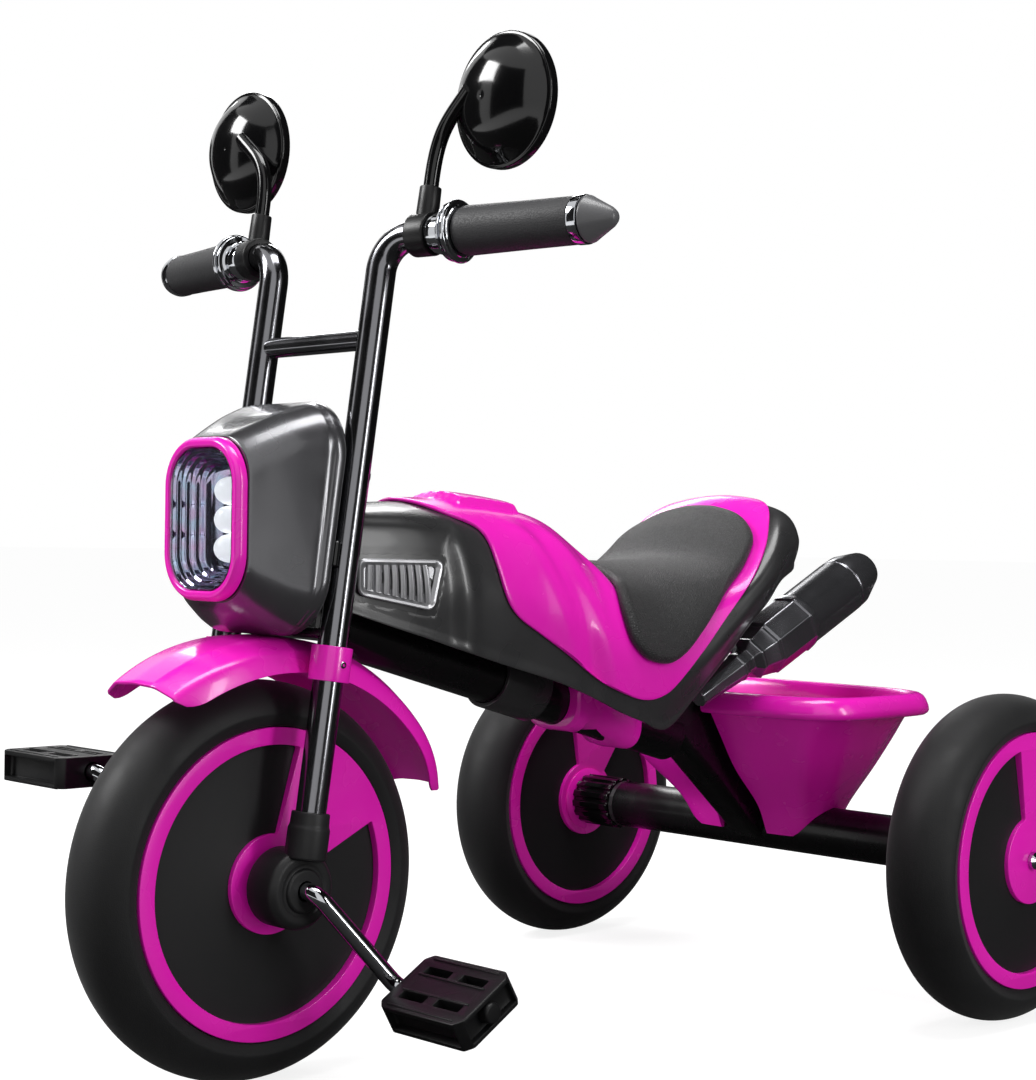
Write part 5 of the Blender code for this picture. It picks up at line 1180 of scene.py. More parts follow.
def housing_rings(wall):
    """Rings over the headlight housing, straight from its mouth to its back with soft bends between."""
    rings = []
    depths = [ring[0] for ring in HOUSING_RINGS]
    places = spaced(depths[0], depths[4], 30) + spaced(depths[4], depths[5], 5)[1:]
    for depth in places:
        width, foot, top, corner, lean = [
            straight([(ring[0], ring[k]) for ring in HOUSING_RINGS], depth, 0.0022) for k in range(1, 6)]
        # the seam between the hood and its back cover
        groove = 0.0008 * math.exp(-((depth - depths[4] + 0.0055) / 0.0006) ** 2) if not wall else 0.0
        inset = wall + groove
        half, middle = (top - foot) / 2, (top + foot) / 2
        outline = rounded_rectangle(width - 2 * inset, 2 * (half - inset), corner - inset, 14)
        rings.append([(x, depth + lean * (z + half), z + middle) for x, z in outline])
    return rings


def lamp_ring(inset, depth):
    outline = rounded_rectangle(LAMP_WIDTH - 2 * inset, LAMP_HEIGHT - 2 * inset, LAMP_CORNER - inset, 14)
    return [(x, depth, z + LAMP_MIDDLE) for x, z in outline]


def make_headlight():
    """The hood, its bezel, the clear lens and what is seen through it."""
    outer = housing_rings(0.0)
    inner = housing_rings(HOUSING_WALL)
    inner[-1] = [(x, y - HOUSING_WALL, z) for x, y, z in inner[-1]]
    rings = outer[::-1] + inner
    housing = softened(loft(rings, ORIGIN), 0.0009, 3, 50)
    piece("headlight_housing", housing, "gunmetal lacquer on ABS", "steering")

    back = LAMP_FRONT + BEZEL_DEPTH
    profile = eased([(0, back), (0.0002, LAMP_FRONT + 0.0030), (0.0022, LAMP_FRONT),
                     (BEZEL_WIDTH - 0.0010, LAMP_FRONT), (BEZEL_WIDTH, LAMP_FRONT + 0.0010),
                     (BEZEL_WIDTH, back)], 0.0012, 4)
    bezel = loft([lamp_ring(inset, depth) for inset, depth in profile], ORIGIN, looped=True)
    piece("headlight_bezel", bezel, "pink gloss ABS", "steering")

    gap = BEZEL_WIDTH + SEAT_GAP
    front = LAMP_FRONT + 0.0010
    faces = [(gap, front + 0.0020), (gap, front + 0.0006), (gap + 0.0006, front),
             (gap + 0.008, front - 0.0004)]
    lens = loft([lamp_ring(inset, depth) for inset, depth in faces], ORIGIN)
    piece("headlight_lens", lens, "clear polycarbonate", "steering")
    make_reflector(gap, LAMP_FRONT + 0.0033)


def make_reflector(gap, front):
    """The stepped reflector and the three lit domes on its floor."""
    back = front + REFLECTOR_DEPTH
    floor = back - 0.0026
    treads = 4
    profile = [(0.0, front), (0.0010, front)]
    for i in range(treads):
        depth = front + (floor - front) * (i + 1) / treads
        inset = 0.0012 + 0.0030 * i
        profile += [(inset, depth - 0.0012), (inset + 0.0026, depth)]
    profile = eased(profile, 0.0009, 3, closed=False, least=0.1)
    rings = [lamp_ring(gap + inset, depth) for inset, depth in profile]
    behind = [lamp_ring(gap, front + 0.0055), lamp_ring(gap + 0.0057, back)]
    reflector = loft(rings[::-1] + behind, ORIGIN)
    lamps = []
    for i in (-1, 0, 1):
        spot = ORIGIN @ moved(0, 0, LAMP_MIDDLE + i * DOME_PITCH) @ ALONG_Y
        dome = [(0, floor - DOME_RADIUS)]
        for a in spaced(0.1, math.pi / 2, 16):
            dome.append((DOME_RADIUS * math.sin(a), floor - DOME_RADIUS * math.cos(a)))
        dome += [(DOME_RADIUS, floor + 0.0005), (0, floor + 0.0005)]
        lamps.append(turned(dome, spot, 56))
    piece("headlight_reflector", reflector, "metallised plastic", "steering", sharp=50)
    piece("headlight_lamps", grouped(*lamps), "lit opal plastic", "steering", nodes=())


def make_grips():
    """Rubber grips with a chrome collar, a chrome end band and a pointed cap."""
    for side, name in SIDES:
        bore = TUBE_RADIUS + SEAT_GAP
        length = GRIP_END - GRIP_START - 0.007
        grip = [(bore, 0.0), (GRIP_RADIUS - 0.0015, 0.0), (GRIP_RADIUS, 0.004),
                (GRIP_END_RADIUS + 0.0003, length * 0.6), (GRIP_END_RADIUS, length), (bore, length)]
        grip = lathe(grip, 0.0010, 3, bar_place(side, GRIP_START), 64, looped=True)
        piece("grip_" + name, grip, "stippled rubber", "steering")

        flange = COLLAR_RADIUS
        collar = [(bore, 0.0), (0.0120, 0.0), (0.0133, 0.0060), (0.0133, 0.0120), (0.0150, 0.0128),
                  (0.0176, 0.0132), (0.0182, 0.0139), (0.0176, 0.0148), (0.0150, 0.0155), (0.0150, 0.0168),
                  (flange - 0.0008, 0.0172), (flange, 0.0182), (flange, 0.0192), (flange - 0.0010, 0.0202),
                  (0.0160, 0.0208), (0.0158, COLLAR_LENGTH), (bore, COLLAR_LENGTH)]
        start = GRIP_START - COLLAR_LENGTH - SEAT_GAP
        collar = lathe(collar, 0.0004, 2, bar_place(side, start), 72, looped=True)
        piece("grip_collar_" + name, collar, "bright chrome plate", "steering")

        tip = GRIP_END_RADIUS
        band = [(bore, 0.0), (tip + 0.0004, 0.0), (tip + 0.0004, 0.0066), (bore, 0.0066)]
        band = lathe(band, 0.0008, 3, bar_place(side, GRIP_START + length + 0.0002), 64, looped=True)
        piece("grip_band_" + name, band, "bright chrome plate", "steering", nodes=())

        cap = [(0, 0.0), (tip - 0.0004, 0.0), (tip - 0.0002, 0.0015), (tip - 0.0022, 0.0050),
               (0.0062, CAP_LENGTH - 0.0040), (0.0034, CAP_LENGTH - 0.0006), (0, CAP_LENGTH)]
        cap = lathe(cap, 0.0016, 4, bar_place(side, GRIP_END + SEAT_GAP), 64)
        piece("grip_cap_" + name, cap, "grey satin ABS", "steering")


def make_mirrors():
    """Round mirrors on bent stems that turn in clamps on the bar."""
    for side, name in SIDES:
        place, _ = along_bar(side, CLAMP_AT)
        half = CLAMP_LENGTH / 2
        profile = [(0, half), (MIRROR_CLAMP_RADIUS, half), (MIRROR_CLAMP_RADIUS, -half), (0, -half)]
        clamp = lathe(profile, 0.0012, 4, bar_place(side, CLAMP_AT), 56)
        upright = STEERING @ Matrix.Translation(place)
        socket = [(0, SOCKET_HEIGHT), (0.0068, SOCKET_HEIGHT), (0.0070, SOCKET_HEIGHT - 0.010),
                  (0.0074, 0), (0, 0)]
        join(clamp, lathe(socket, 0.0006, 2, upright, 48))
        cut(clamp,
            rod(TUBE_RADIUS + SEAT_GAP, -0.03, 0.03, bar_place(side, CLAMP_AT), 56),
            rod(MIRROR_STEM_RADIUS + RUNNING_GAP, 0.016, 0.06, upright, 40))
        softened(clamp, 0.0006, 2, 45)
        piece("mirror_clamp_" + name, clamp, "black textured nylon", "steering")

        x, y, z = MIRROR_PLACE
        cos, sin = math.cos(RAKE), math.sin(RAKE)
        back, up = y - AXIS_Y, z - AXIS_Z
        head = Vector((side * x, back * cos - up * sin, back * sin + up * cos)) - place
        facing, upward = Vector((0, cos, sin)), Vector((0, -sin, cos))
        meet = head - facing * (MIRROR_DEPTH - 0.004) + Vector((-side * 0.014, 0, 0)) + upward * 0.006
        reach = meet - Vector((0, 0, meet.z))
        arrive = (reach.normalized() * 0.75 + Vector((0, 0, 0.65))).normalized()
        start = Vector((0, 0, SOCKET_HEIGHT + 0.004))
        pulls = (start, start + Vector((0, 0, 0.034)), meet - arrive * 0.024, meet)
        path = [Vector((0, 0, 0.0163))]
        for share in spaced(0, 1, 41):
            path.append(sum((pull * (math.comb(3, k) * share ** k * (1 - share) ** (3 - k))
                             for k, pull in enumerate(pulls)), Vector()))
        stem = swept(path, MIRROR_STEM_RADIUS, upright, 32)
        aim = upright @ Matrix.Translation(head) @ Matrix.Rotation(RAKE, 4, "X") @ ALONG_Y
        rim, depth = MIRROR_RADIUS, MIRROR_DEPTH
        shell = [(rim - 0.0030, 0.0), (rim - 0.0008, 0.0), (rim, -0.0010), (rim, -0.0062),
                 (rim - 0.0006, -0.0070), (rim - 0.0022, -0.0072), (rim - 0.0048, -0.0095)]
        shell += [(r, -d) for r, d in (
            (rim * 0.80, depth * 0.54), (rim * 0.66, depth * 0.74), (rim * 0.48, depth * 0.89),
            (rim * 0.28, depth * 0.975), (rim * 0.10, depth), (0, depth))]
        shell += [(0, -depth + 0.0025), (rim * 0.40, -depth * 0.87 + 0.0025),
                  (rim * 0.70, -depth * 0.62 + 0.0025), (rim - 0.0065, -0.0075), (rim - 0.0030, -0.0040)]
        shell = turned(eased(shell, 0.0010, 3, least=0.5), aim, 96, looped=True)
        join(shell, stem)
        piece("mirror_housing_" + name, shell, "black gloss ABS", "mirror_" + name, sharp=40)
        glass = [(0, -0.0008), (rim - 0.0042, -0.0008), (rim - 0.0034, -0.0014), (rim - 0.0034, -0.0030),
                 (0, -0.0030)]
        glass = turned(glass, aim, 96)
        piece("mirror_glass_" + name, glass, "silvered glass", "mirror_" + name)


def layered(rows, lines, outer, inner):
    """A sheet over a grid of the body's skin, both its faces given by functions of the place."""
    top = [outer(y, share) for y in rows for share in lines]
    low = [inner(y, share) for y in rows for share in lines]
    count, columns = len(rows), len(lines)
    faces = grid_faces(count, columns)
    faces += [tuple(len(top) + k for k in face[::-1]) for face in faces]
    border = list(range(columns))
    border += [i * columns + columns - 1 for i in range(1, count)]
    border += [(count - 1) * columns + j for j in range(columns - 2, -1, -1)]
    border += [i * columns for i in range(count - 2, 0, -1)]
    for a, b in zip(border, border[1:] + border[:1]):
        faces.append((a, b, len(top) + b, len(top) + a))
    return solid(top + low, faces)


# Flank panel and the vent's pocket in it: distance behind the front axle and height of each corner
PANEL = ((0.030, 0.3420), (0.1180, 0.3400), (0.1280, 0.2540), (0.030, 0.2900))
POCKET = ((0.0440, 0.3290), (0.1135, 0.3285), (0.1055, 0.2900), (0.0470, 0.3010))


def shell_relief(y, share):
    """How far the moulded details stand out of the shell's plain skin."""
    spot = plain_skin(y, share)
    depth = inside(PANEL, spot.y, spot.z)
    panel = -0.0024 * ramp(depth, -0.007, 0.007)
    pocket = -0.0016 * ramp(inside(POCKET, spot.y, spot.z), -0.0008, 0.0012)
    rim = 0.0008 * math.exp(-((depth + 0.010) / 0.006) ** 2)
    hem = 0.0006 * ramp(abs(share), 0.955, 0.985)
    return panel + pocket + rim + hem


def make_body():
    """The shell with its recessed flank panels, and the pink cover with the raised lid."""
    rows = spaced(BODY_ENDS[0], 0.150, 71) + spaced(0.150, BODY_ENDS[1], 90)[1:]
    lines = spaced(-1, 1, 141)
    shell = layered(rows, lines, lambda y, share: skin(y, share, shell_relief(y, share)),
                    lambda y, share: skin(y, share, -SHELL_WALL))
    cut(shell, rod(HEAD_NOTCH, HEAD_FOOT, HEAD_FOOT + 1.2 * HEAD_LENGTH, STEERING, 64))
    softened(shell, 0.0008, 3, 55)
    piece("body_shell", shell, "charcoal satin ABS", "frame")

    top = SEAT_GAP + COVER_WALL
    loop = half_loop(COVER_OUTLINE, 150)
    steps = [(out, SEAT_GAP) for out in (0.02, 0.2, 0.4, 0.6, 0.8, 0.9, 0.97, 0.992)]
    steps += [(0.998, SEAT_GAP + 0.0002), (1.0, SEAT_GAP + 0.0008), (1.0, top - 0.0010),
              (0.997, top - 0.0003)]
    under = len(steps)
    steps += [(out, top) for out in spaced(0.992, 0.02, 76)]

    def lift(y, share, out):
        """The lid over the tank, and the waist between tank and seat."""
        across = plain_skin(y, share).x
        edge = min(0.029 - abs(y - 0.179), 0.026 - abs(across))
        lid = 0.0052 * ramp(edge, -0.0005, 0.0045)
        past = (y - 0.200 - 0.065 * (abs(share) - 0.30)) / 0.010
        fold = sum(rise * math.exp(-(past - at) ** 2) for rise, at in FOLD_WAVES)
        return (lid + fold * ramp(abs(share), 0.22, 0.42)) * (1.0 if out < 0.997 else 0.0)

    rings = skin_rings(loop, steps[:under]) + skin_rings(loop, steps[under:], lift)
    cover = loft(rings)
    piece("body_cover", cover, "pink gloss ABS", "frame")


def make_seat_pad():
    """A crowned vinyl pad whose edge rolls under, drawn in where it meets the cover."""
    base = 2 * SEAT_GAP + COVER_WALL
    loop = half_loop(PAD_OUTLINE, 110)
    steps = [(out, base) for out in (0.02, 0.3, 0.6, 0.85, 0.95, 0.975)]
    steps += [(0.985, base + 0.0003), (0.994, base + 0.0012), (0.999, base + 0.0024), (1.0, base + 0.0034),
              (0.996, base + 0.0046), (0.986, base + 0.0057), (0.972, base + 0.0066)]
    steps += [(out, base + 0.0098 - 0.0030 * out ** 6) for out in spaced(0.955, 0.02, 60)]
    pad = loft(skin_rings(loop, steps))
    piece("seat_pad", pad, "grained vinyl", "frame")


def make_vents():
    """A silver frame with a chamfer and eight near-upright slats in each flank's pocket."""
    for side, name in SIDES:
        corners = [Vector(corner) for corner in VENT_CORNERS]

        def outline(inset):
            inner = []
            for i, corner in enumerate(corners):
                ahead = (corners[(i + 1) % 4] - corner).normalized()
                back = (corners[i - 1] - corner).normalized()
                inner.append(corner + (ahead + back) * inset / math.sin(ahead.angle(back)))
            return eased(inner, 0.006 - inset * 0.6, 6)

        profile = [(0.0, -0.0004), (0.0, 0.0008), (0.0008, 0.0014), (0.0022, 0.0012), (0.0042, -0.0006),
                   (0.0042, -0.0014)]
        rings = []
        for inset, height in profile:
            rings.append([flank(y, z, side, height) for y, z in outline(inset)])
        border = loft(rings, looped=True)
        slats = []
        top = VENT_CORNERS[0][1] - 0.0040
        front, rear = VENT_CORNERS[3][0] + 0.0035, VENT_CORNERS[2][0] - 0.0030
        pitch = (rear - front) / VENT_SLATS
        for i in range(VENT_SLATS):
            share = (i + 0.5) / VENT_SLATS
            foot = VENT_CORNERS[3][1] + (VENT_CORNERS[2][1] - VENT_CORNERS[3][1]) * share + 0.0040
            y = front + pitch * (i + 0.5)
            rows = []
            for u, height in SLAT_SECTION:
                rows.append([flank(y + u * pitch - SLAT_LEAN * (z - top), z, side, height)
                             for z in spaced(foot, top, 12)])
            slats.append(loft([[row[k] for row in rows] for k in range(12)]))
        back = loft([[flank(y, z, side, height) for y, z in outline(0.0030)]
                     for height in (-0.0024, -0.0018)])
        vent = grouped(border, back, *slats)
        piece("vent_grille_" + name, vent, "silver lacquer on ABS", "frame")


def make_exhausts():
    """A silencer each side, eight-sided in front and round behind, with bands and a recessed mouth."""
    front, rear = Vector((0, *EXHAUST_FRONT)), Vector((0, *EXHAUST_REAR))
    along = (rear - front).normalized()
    square = Vector((0, -along.z, along.y))
    length = (rear - front).length
    for side, name in SIDES:
        rings = []
        for share, radius in EXHAUST_STATIONS:
            place = front + along * length * share + Vector((side * EXHAUST_X, 0, 0))
            ring = []
            for a in spaced(math.pi / 8, math.pi * 17 / 8, 81)[:-1]:
                facet = math.cos(math.pi / 8) / math.cos((a - math.pi / 8) % (math.pi / 4) - math.pi / 8)
                r = radius * (facet + (0.965 - facet) * ramp(share, 0.570, 0.580))
                ring.append(place + Vector((r * math.cos(a), 0, 0)) + square * r * math.sin(a))
            rings.append(ring)
        made = softened(loft(rings), 0.0006, 2, 24)
        inner = STRUT_WIDTH / 2 + SEAT_GAP
        middle = side * (inner + EXHAUST_X) / 2
        lug = plate([rounded_rectangle(*EXHAUST_LUG, 0.004, 5)], EXHAUST_X - inner,
                    ORIGIN @ moved(middle, *EXHAUST_LUG_PLACE) @ FACING_X, 0.001)
        piece("exhaust_" + name, join(made, lug), "smoked lacquer on ABS", "frame", sharp=30)


def basket_ring(z, width, depth, middle, flute, wall):
    """A squarish outline at a height, with a channel in its front for the strut."""
    half_x, half_y = width / 2 - wall, depth / 2 - wall
    top, foot = STRUT_BACK
    strut_y = foot[0] + (z - foot[1]) * (top[0] - foot[0]) / (top[1] - foot[1])
    ring = []
    for x in spaced(-CHANNEL_MOUTH, CHANNEL_MOUTH, 21):
        y = middle - half_y * (1 - (x / half_x) ** 4) ** 0.25
        into = ramp(CHANNEL_MOUTH - abs(x), 0.0, CHANNEL_MOUTH - CHANNEL_FLOOR)
        y = y + (max(y, strut_y + wall) - y) * into
        ring.append((x * (1 + wall / CHANNEL_MOUTH), y, z))
    first = math.asin(((CHANNEL_MOUTH + 0.012) / half_x) ** 2)
    for turn in spaced(-math.pi / 2 + first, 3 * math.pi / 2 - first, 150):
        c, s = math.cos(turn), math.sin(turn)
        swell = 1 + flute * math.cos(8 * turn)
        x = half_x * swell * math.copysign(abs(c) ** 0.5, c)
        ring.append((x, middle + half_y * swell * math.copysign(abs(s) ** 0.5, s), z))
    return ring


def make_basket():
    """A fluted bucket with a broad rolled lip, astride the axle tube."""
    floor_z = REAR_RADIUS + AXLE_TUBE_RADIUS + SEAT_GAP
    lip_foot = BASKET_RIM - BASKET_LIP
    inset = BASKET_LIP_REACH
    foot = WHEELBASE + 0.001
    # height, width, depth, middle and flute of each ring, from the skirt up to the lip
    walls = (
        (BASKET_SKIRT, 0.120, 0.052, foot + 0.003, 0.0),
        (floor_z, 0.142, 0.070, foot, 0.014),
        (floor_z + 0.030, 0.184, 0.108, WHEELBASE - 0.008, 0.020),
        (floor_z + 0.058, 0.222, 0.134, WHEELBASE - 0.014, 0.018),
        (lip_foot, BASKET_WIDTH - 2 * inset, BASKET_DEPTH - 2 * inset + 0.006, BASKET_MIDDLE, 0.006),
    )

    def at(z, wall):
        values = [blend([(ring[0], ring[k]) for ring in walls], z) for k in range(1, 5)]
        return basket_ring(z, *values, wall)

    outer = [at(z, 0.0) for z in spaced(BASKET_SKIRT, lip_foot, 34)]
    # height of each ring of the rolled lip, and how far it is drawn in
    roll = [(lip_foot + 0.0002, 0.012), (lip_foot, 0.006), (lip_foot + 0.0006, 0.0025),
            (lip_foot + 0.0020, 0.0008), (lip_foot + 0.0040, 0.0), (lip_foot + 0.0075, 0.0006),
            (BASKET_RIM - 0.0050, 0.0022),
            (BASKET_RIM - 0.0022, 0.0040), (BASKET_RIM - 0.0004, 0.0066), (BASKET_RIM, 0.0086),
            (BASKET_RIM - 0.0006, 0.0106), (BASKET_RIM - 0.0028, 0.0124)]
    lip = [basket_ring(z, BASKET_WIDTH - 2 * reach, BASKET_DEPTH - 2 * reach, BASKET_MIDDLE, 0.0, 0.0)
           for z, reach in roll]
    inner = [at(z, BASKET_WALL) for z in spaced(lip_foot - 0.001, floor_z + 0.003, 30)]
    basket = loft(outer + lip + inner)
    saddle = AXLE_TUBE_RADIUS + SEAT_GAP
    arch = arc(saddle, 0, math.pi, 64) + [(-saddle, -0.04), (saddle, -0.04)]
    rings = [[(x, u, v) for u, v in arch] for x in (-0.2, 0.2)]
    cut(basket, loft(rings, REAR_AXLE))
    piece("basket", basket, "pink gloss ABS", "frame", sharp=40)


def strut_shape(grow):
    """The tapered box strut from under the seat down to the axle tube."""
    top, foot = Vector((0, *STRUT_TOP)), Vector((0, *STRUT_FOOT))
    along = (foot - top).normalized()
    square = Vector((0, -along.z, along.y))
    rings = []
    for place, depth in ((top, STRUT_DEPTHS[0]), (foot + along * STRUT_SINK, STRUT_DEPTHS[1])):
        outline = rounded_rectangle(STRUT_WIDTH + 2 * grow, depth + 2 * grow, STRUT_CORNER, 12)
        rings.append([place + Vector((u, 0, 0)) + square * v for u, v in outline])
    return loft(rings)


def pipe_ring(radius, wall, end):
    """The wall of a tube of a half length, with its edges broken."""
    return eased([(radius - wall, -end), (radius, -end), (radius, end), (radius - wall, end)], 0.0006, 3)


def make_frame_tubes():
    """The backbone with the sleeve on it, the strut and the rear axle tube."""
    axle = REAR_AXLE @ ALONG_X
    tube = turned(pipe_ring(AXLE_TUBE_RADIUS, FRAME_WALL, AXLE_TUBE_LENGTH / 2), axle, 80, looped=True)
    piece("rear_axle_tube", tube, "black powder coat", "frame")
    strut = cut(strut_shape(0.0), rod(AXLE_TUBE_RADIUS + SEAT_GAP, -0.05, 0.05, axle, 96))
    piece("rear_strut", softened(strut, 0.0008, 2, 50), "black powder coat", "frame")

    path = [(0, y, backbone_middle(y)) for y in BACKBONE_ENDS]
    backbone = swept(path, BACKBONE_RADIUS, sides=96, wall=FRAME_WALL)
    head_top = HEAD_FOOT + HEAD_LENGTH
    cut(backbone,
        rod(HEAD_RADIUS + SEAT_GAP, 0.0, head_top + 0.05, STEERING, 96),
        rod(CROWN_CLEARANCE, 0.0, HEAD_FOOT, STEERING, 96),
        rod(FENDER_CLEARANCE, -LEG_X, LEG_X, FRONT_AXLE @ ALONG_X, 160),
        strut_shape(SEAT_GAP))
    piece("backbone_tube", backbone, "black powder coat", "frame")
    along = pointing(Vector(path[1]) - Vector(path[0]))
    seat = ORIGIN @ moved(0, SLEEVE_Y, backbone_middle(SLEEVE_Y)) @ along
    ring = pipe_ring(BACKBONE_RADIUS + SLEEVE_WALL, SLEEVE_WALL - SEAT_GAP, SLEEVE_LENGTH / 2)
    sleeve = turned(ring, seat, 96, looped=True)
    piece("backbone_sleeve", sleeve, "charcoal satin ABS", "frame")


def make_seat_bracket():
    """The pink saddle under the seat, moulded round the backbone and waisted between its two ends."""
    low, high = BRACKET_ENDS
    rings = []
    for share, swell in BRACKET_WAIST:
        y = low + (high - low) * share
        width, height = CHEEK_SIZE[0] + 2 * swell, CHEEK_SIZE[1] + 2 * swell
        outline = rounded_rectangle(width, height, 0.017, 8)
        rings.append([(x, y, z + backbone_middle(y) + CHEEK_RISE) for x, z in outline])
    saddle = loft(rings)
    path = [(0, y, backbone_middle(y)) for y in (low - 0.02, high + 0.02)]
    cut(saddle, swept(path, BACKBONE_RADIUS + SEAT_GAP, sides=56))
    piece("seat_bracket", saddle, "pink gloss ABS", "frame")


def backbone_middle(y):
    """Height of the backbone's centre line."""
    low = BACKBONE_LOW_Z - (y - BACKBONE_LOW_Y) * math.tan(BACKBONE_SLOPE)
    return low + BACKBONE_RADIUS / math.cos(BACKBONE_SLOPE)


def dress_frame_nodes():
    """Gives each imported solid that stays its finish."""
    for entry in frame["record"]["subparts"]:
        made = frame["nodes"][entry["node"]]
        made.data.materials.clear()
        made.data.materials.append(bpy.data.materials[SLOT_FINISH[entry["material_slot"]]])


# Stage

FLOOR_REACH = 40
FLOOR_Z = -0.0004
CARD_REACH = 3.0
CARD_Z = -0.0002
CARD_TOP = 3.2
# First and last turn in degrees and top of each black card. The gaps between them show as streaks
CARD_SPANS = ((-176, -133, CARD_TOP), (-119, -62, CARD_TOP), (-20, 14, CARD_TOP), (24, 125, CARD_TOP),
              (125, 178, 1.3))
# Name, place, what it looks at, width, height and power of each soft lamp
LAMPS = (
    ("key lamp", (-1.3, -1.7, 1.9), (0, -0.05, 0.25), 0.9, 0.9, 52),
    ("top lamp", (0.3, -0.1, 2.2), (0, 0, 0.2), 1.2, 0.7, 24),
    ("side lamp", (2.0, 0.2, 0.8), (0, 0, 0.3), 0.25, 1.4, 13),
    ("back lamp", (-2.2, 1.4, 2.0), (0, 0, 0.3), 1.3, 0.5, 16),
)
CAMERA_PLACE = (1.0370, -0.7766 - MIDDLE_Y, 0.3399)
CAMERA_YAW, CAMERA_PITCH, CAMERA_ROLL = math.radians(46.007), 0.0033, 0.0152
CAMERA_LENS = 68.475
CAMERA_SHIFT = (0.0079, 0.0057)


def make_stage():
    """A floor and world seen white, but dimmer in the light they cast, and soft lamps."""
    reach = FLOOR_REACH
    corners = ((-reach, -reach), (reach, -reach), (reach, reach), (-reach, reach))
    floor = solid([(x, y, FLOOR_Z) for x, y in corners], [(0, 1, 2, 3)], Matrix.Identity(4))
    floor.name = "floor"
    made = bpy.data.materials.new("matt white floor")
    tree = bare_tree(made)
    rays = seen_rays(tree)
    matt = add_node(tree, "BsdfDiffuse", None, {"Color": (0.28, 0.28, 0.28, 1)})
    half = add_node(tree, "BsdfDiffuse", None, {"Color": (0.32, 0.32, 0.32, 1)})
    glow = add_node(tree, "Emission", None, {"Color": (1, 1, 1, 1), "Strength": 0.84})
    lit = add_node(tree, "AddShader", None, {0: half.outputs[0], 1: glow.outputs[0]})
    mix = add_node(tree, "MixShader", None, {0: rays, 1: matt.outputs[0], 2: lit.outputs[0]})
    out = add_node(tree, "OutputMaterial")
    tree.links.new(mix.outputs[0], out.inputs["Surface"])
    floor.data.materials.append(made)

    world = bpy.data.worlds.new("studio")
    bpy.context.scene.world = world
    tree = bare_tree(world)
    dim = add_node(tree, "Background", None, {"Color": (1, 1, 1, 1), "Strength": 0.44})
    white = add_node(tree, "Background", None, {"Color": (1, 1, 1, 1), "Strength": 1.0})
    mix = add_node(tree, "MixShader", None, {0: seen_rays(tree), 1: dim.outputs[0], 2: white.outputs[0]})
    out = add_node(tree, "OutputWorld")
    tree.links.new(mix.outputs[0], out.inputs["Surface"])

    for name, place, aim, width, height, power in LAMPS:
        lamp = bpy.data.lights.new(name, "AREA")
        lamp.shape = "RECTANGLE"
        lamp.size, lamp.size_y, lamp.energy = width, height, power
        made = bpy.data.objects.new(name, lamp)
        bpy.context.scene.collection.objects.link(made)
        made.location = place
        made.rotation_euler = (Vector(aim) - Vector(place)).to_track_quat("-Z", "Y").to_euler()

    make_flags()
    bpy.context.scene.view_settings.view_transform = "Standard"


def make_flags():
    """Black cards round the stage, seen only in reflections and through clear plastic."""
    radius = CARD_REACH
    corners = ((-radius, -1.2), (radius, -1.2), (radius, radius), (-radius, radius))
    cards = [[(x, y, CARD_Z) for x, y in corners]]
    for start, end, top in CARD_SPANS:
        turns = spaced(math.radians(start), math.radians(end), 24)
        cards.append([(radius * math.cos(a), radius * math.sin(a), 0.02) for a in turns]
                     + [(radius * math.cos(a), radius * math.sin(a), top) for a in reversed(turns)])
    corners = ((-radius, -0.4), *corners[1:])
    cards.append([(x, y, CARD_TOP) for x, y in corners])
    made = bpy.data.materials.new("black card")
    made.use_nodes = True
    shader = made.node_tree.nodes["Principled BSDF"]
    shader.inputs["Base Color"].default_value = (0.01, 0.01, 0.01, 1)
    shader.inputs["Roughness"].default_value = 0.9
    for i, card in enumerate(cards):
        half = len(card) // 2
        faces = [(k, k + 1, len(card) - 2 - k, len(card) - 1 - k) for k in range(half - 1)]
        flag = solid(card, faces, Matrix.Identity(4))
        flag.name = "black card %d" % (i + 1)
        flag.data.materials.append(made)
        flag.visible_camera = flag.visible_diffuse = flag.visible_shadow = False


def bare_tree(owner):
    """The emptied node tree of a material or world."""
    owner.use_nodes = True
    owner.node_tree.nodes.clear()
    return owner.node_tree


def seen_rays(tree):
    """1 for rays from the camera, a reflection or a clear material."""
    path = add_node(tree, "LightPath").outputs
    first = add_node(tree, "Math", {"operation": "MAXIMUM"}, {0: path["Is Camera Ray"]})
    tree.links.new(path["Is Glossy Ray"], first.inputs[1])
    both = add_node(tree, "Math", {"operation": "MAXIMUM"}, {0: first.outputs[0]})
    tree.links.new(path["Is Transmission Ray"], both.inputs[1])
    return both.outputs[0]


def make_camera():
    """The camera where the photograph was taken from."""
    camera = bpy.data.cameras.new("camera")
    camera.lens = CAMERA_LENS
    camera.sensor_width = 36.0
    camera.shift_x, camera.shift_y = CAMERA_SHIFT
    camera.clip_start = 0.01
    made = bpy.data.objects.new("camera", camera)
    bpy.context.scene.collection.objects.link(made)
    yaw, pitch, roll = CAMERA_YAW, CAMERA_PITCH, CAMERA_ROLL
    level = math.cos(pitch)
    ahead = Vector((-math.sin(yaw) * level, math.cos(yaw) * level, -math.sin(pitch)))
    right = ahead.cross(Vector((0, 0, 1))).normalized()
    up = right.cross(ahead)
    across = right * math.cos(roll) + up * math.sin(roll)
    upright = -right * math.sin(roll) + up * math.cos(roll)
    axes = Matrix((across, upright, -ahead)).transposed()
    made.matrix_world = Matrix.Translation(CAMERA_PLACE) @ axes.to_4x4()
    bpy.context.scene.camera = made


# Add-on

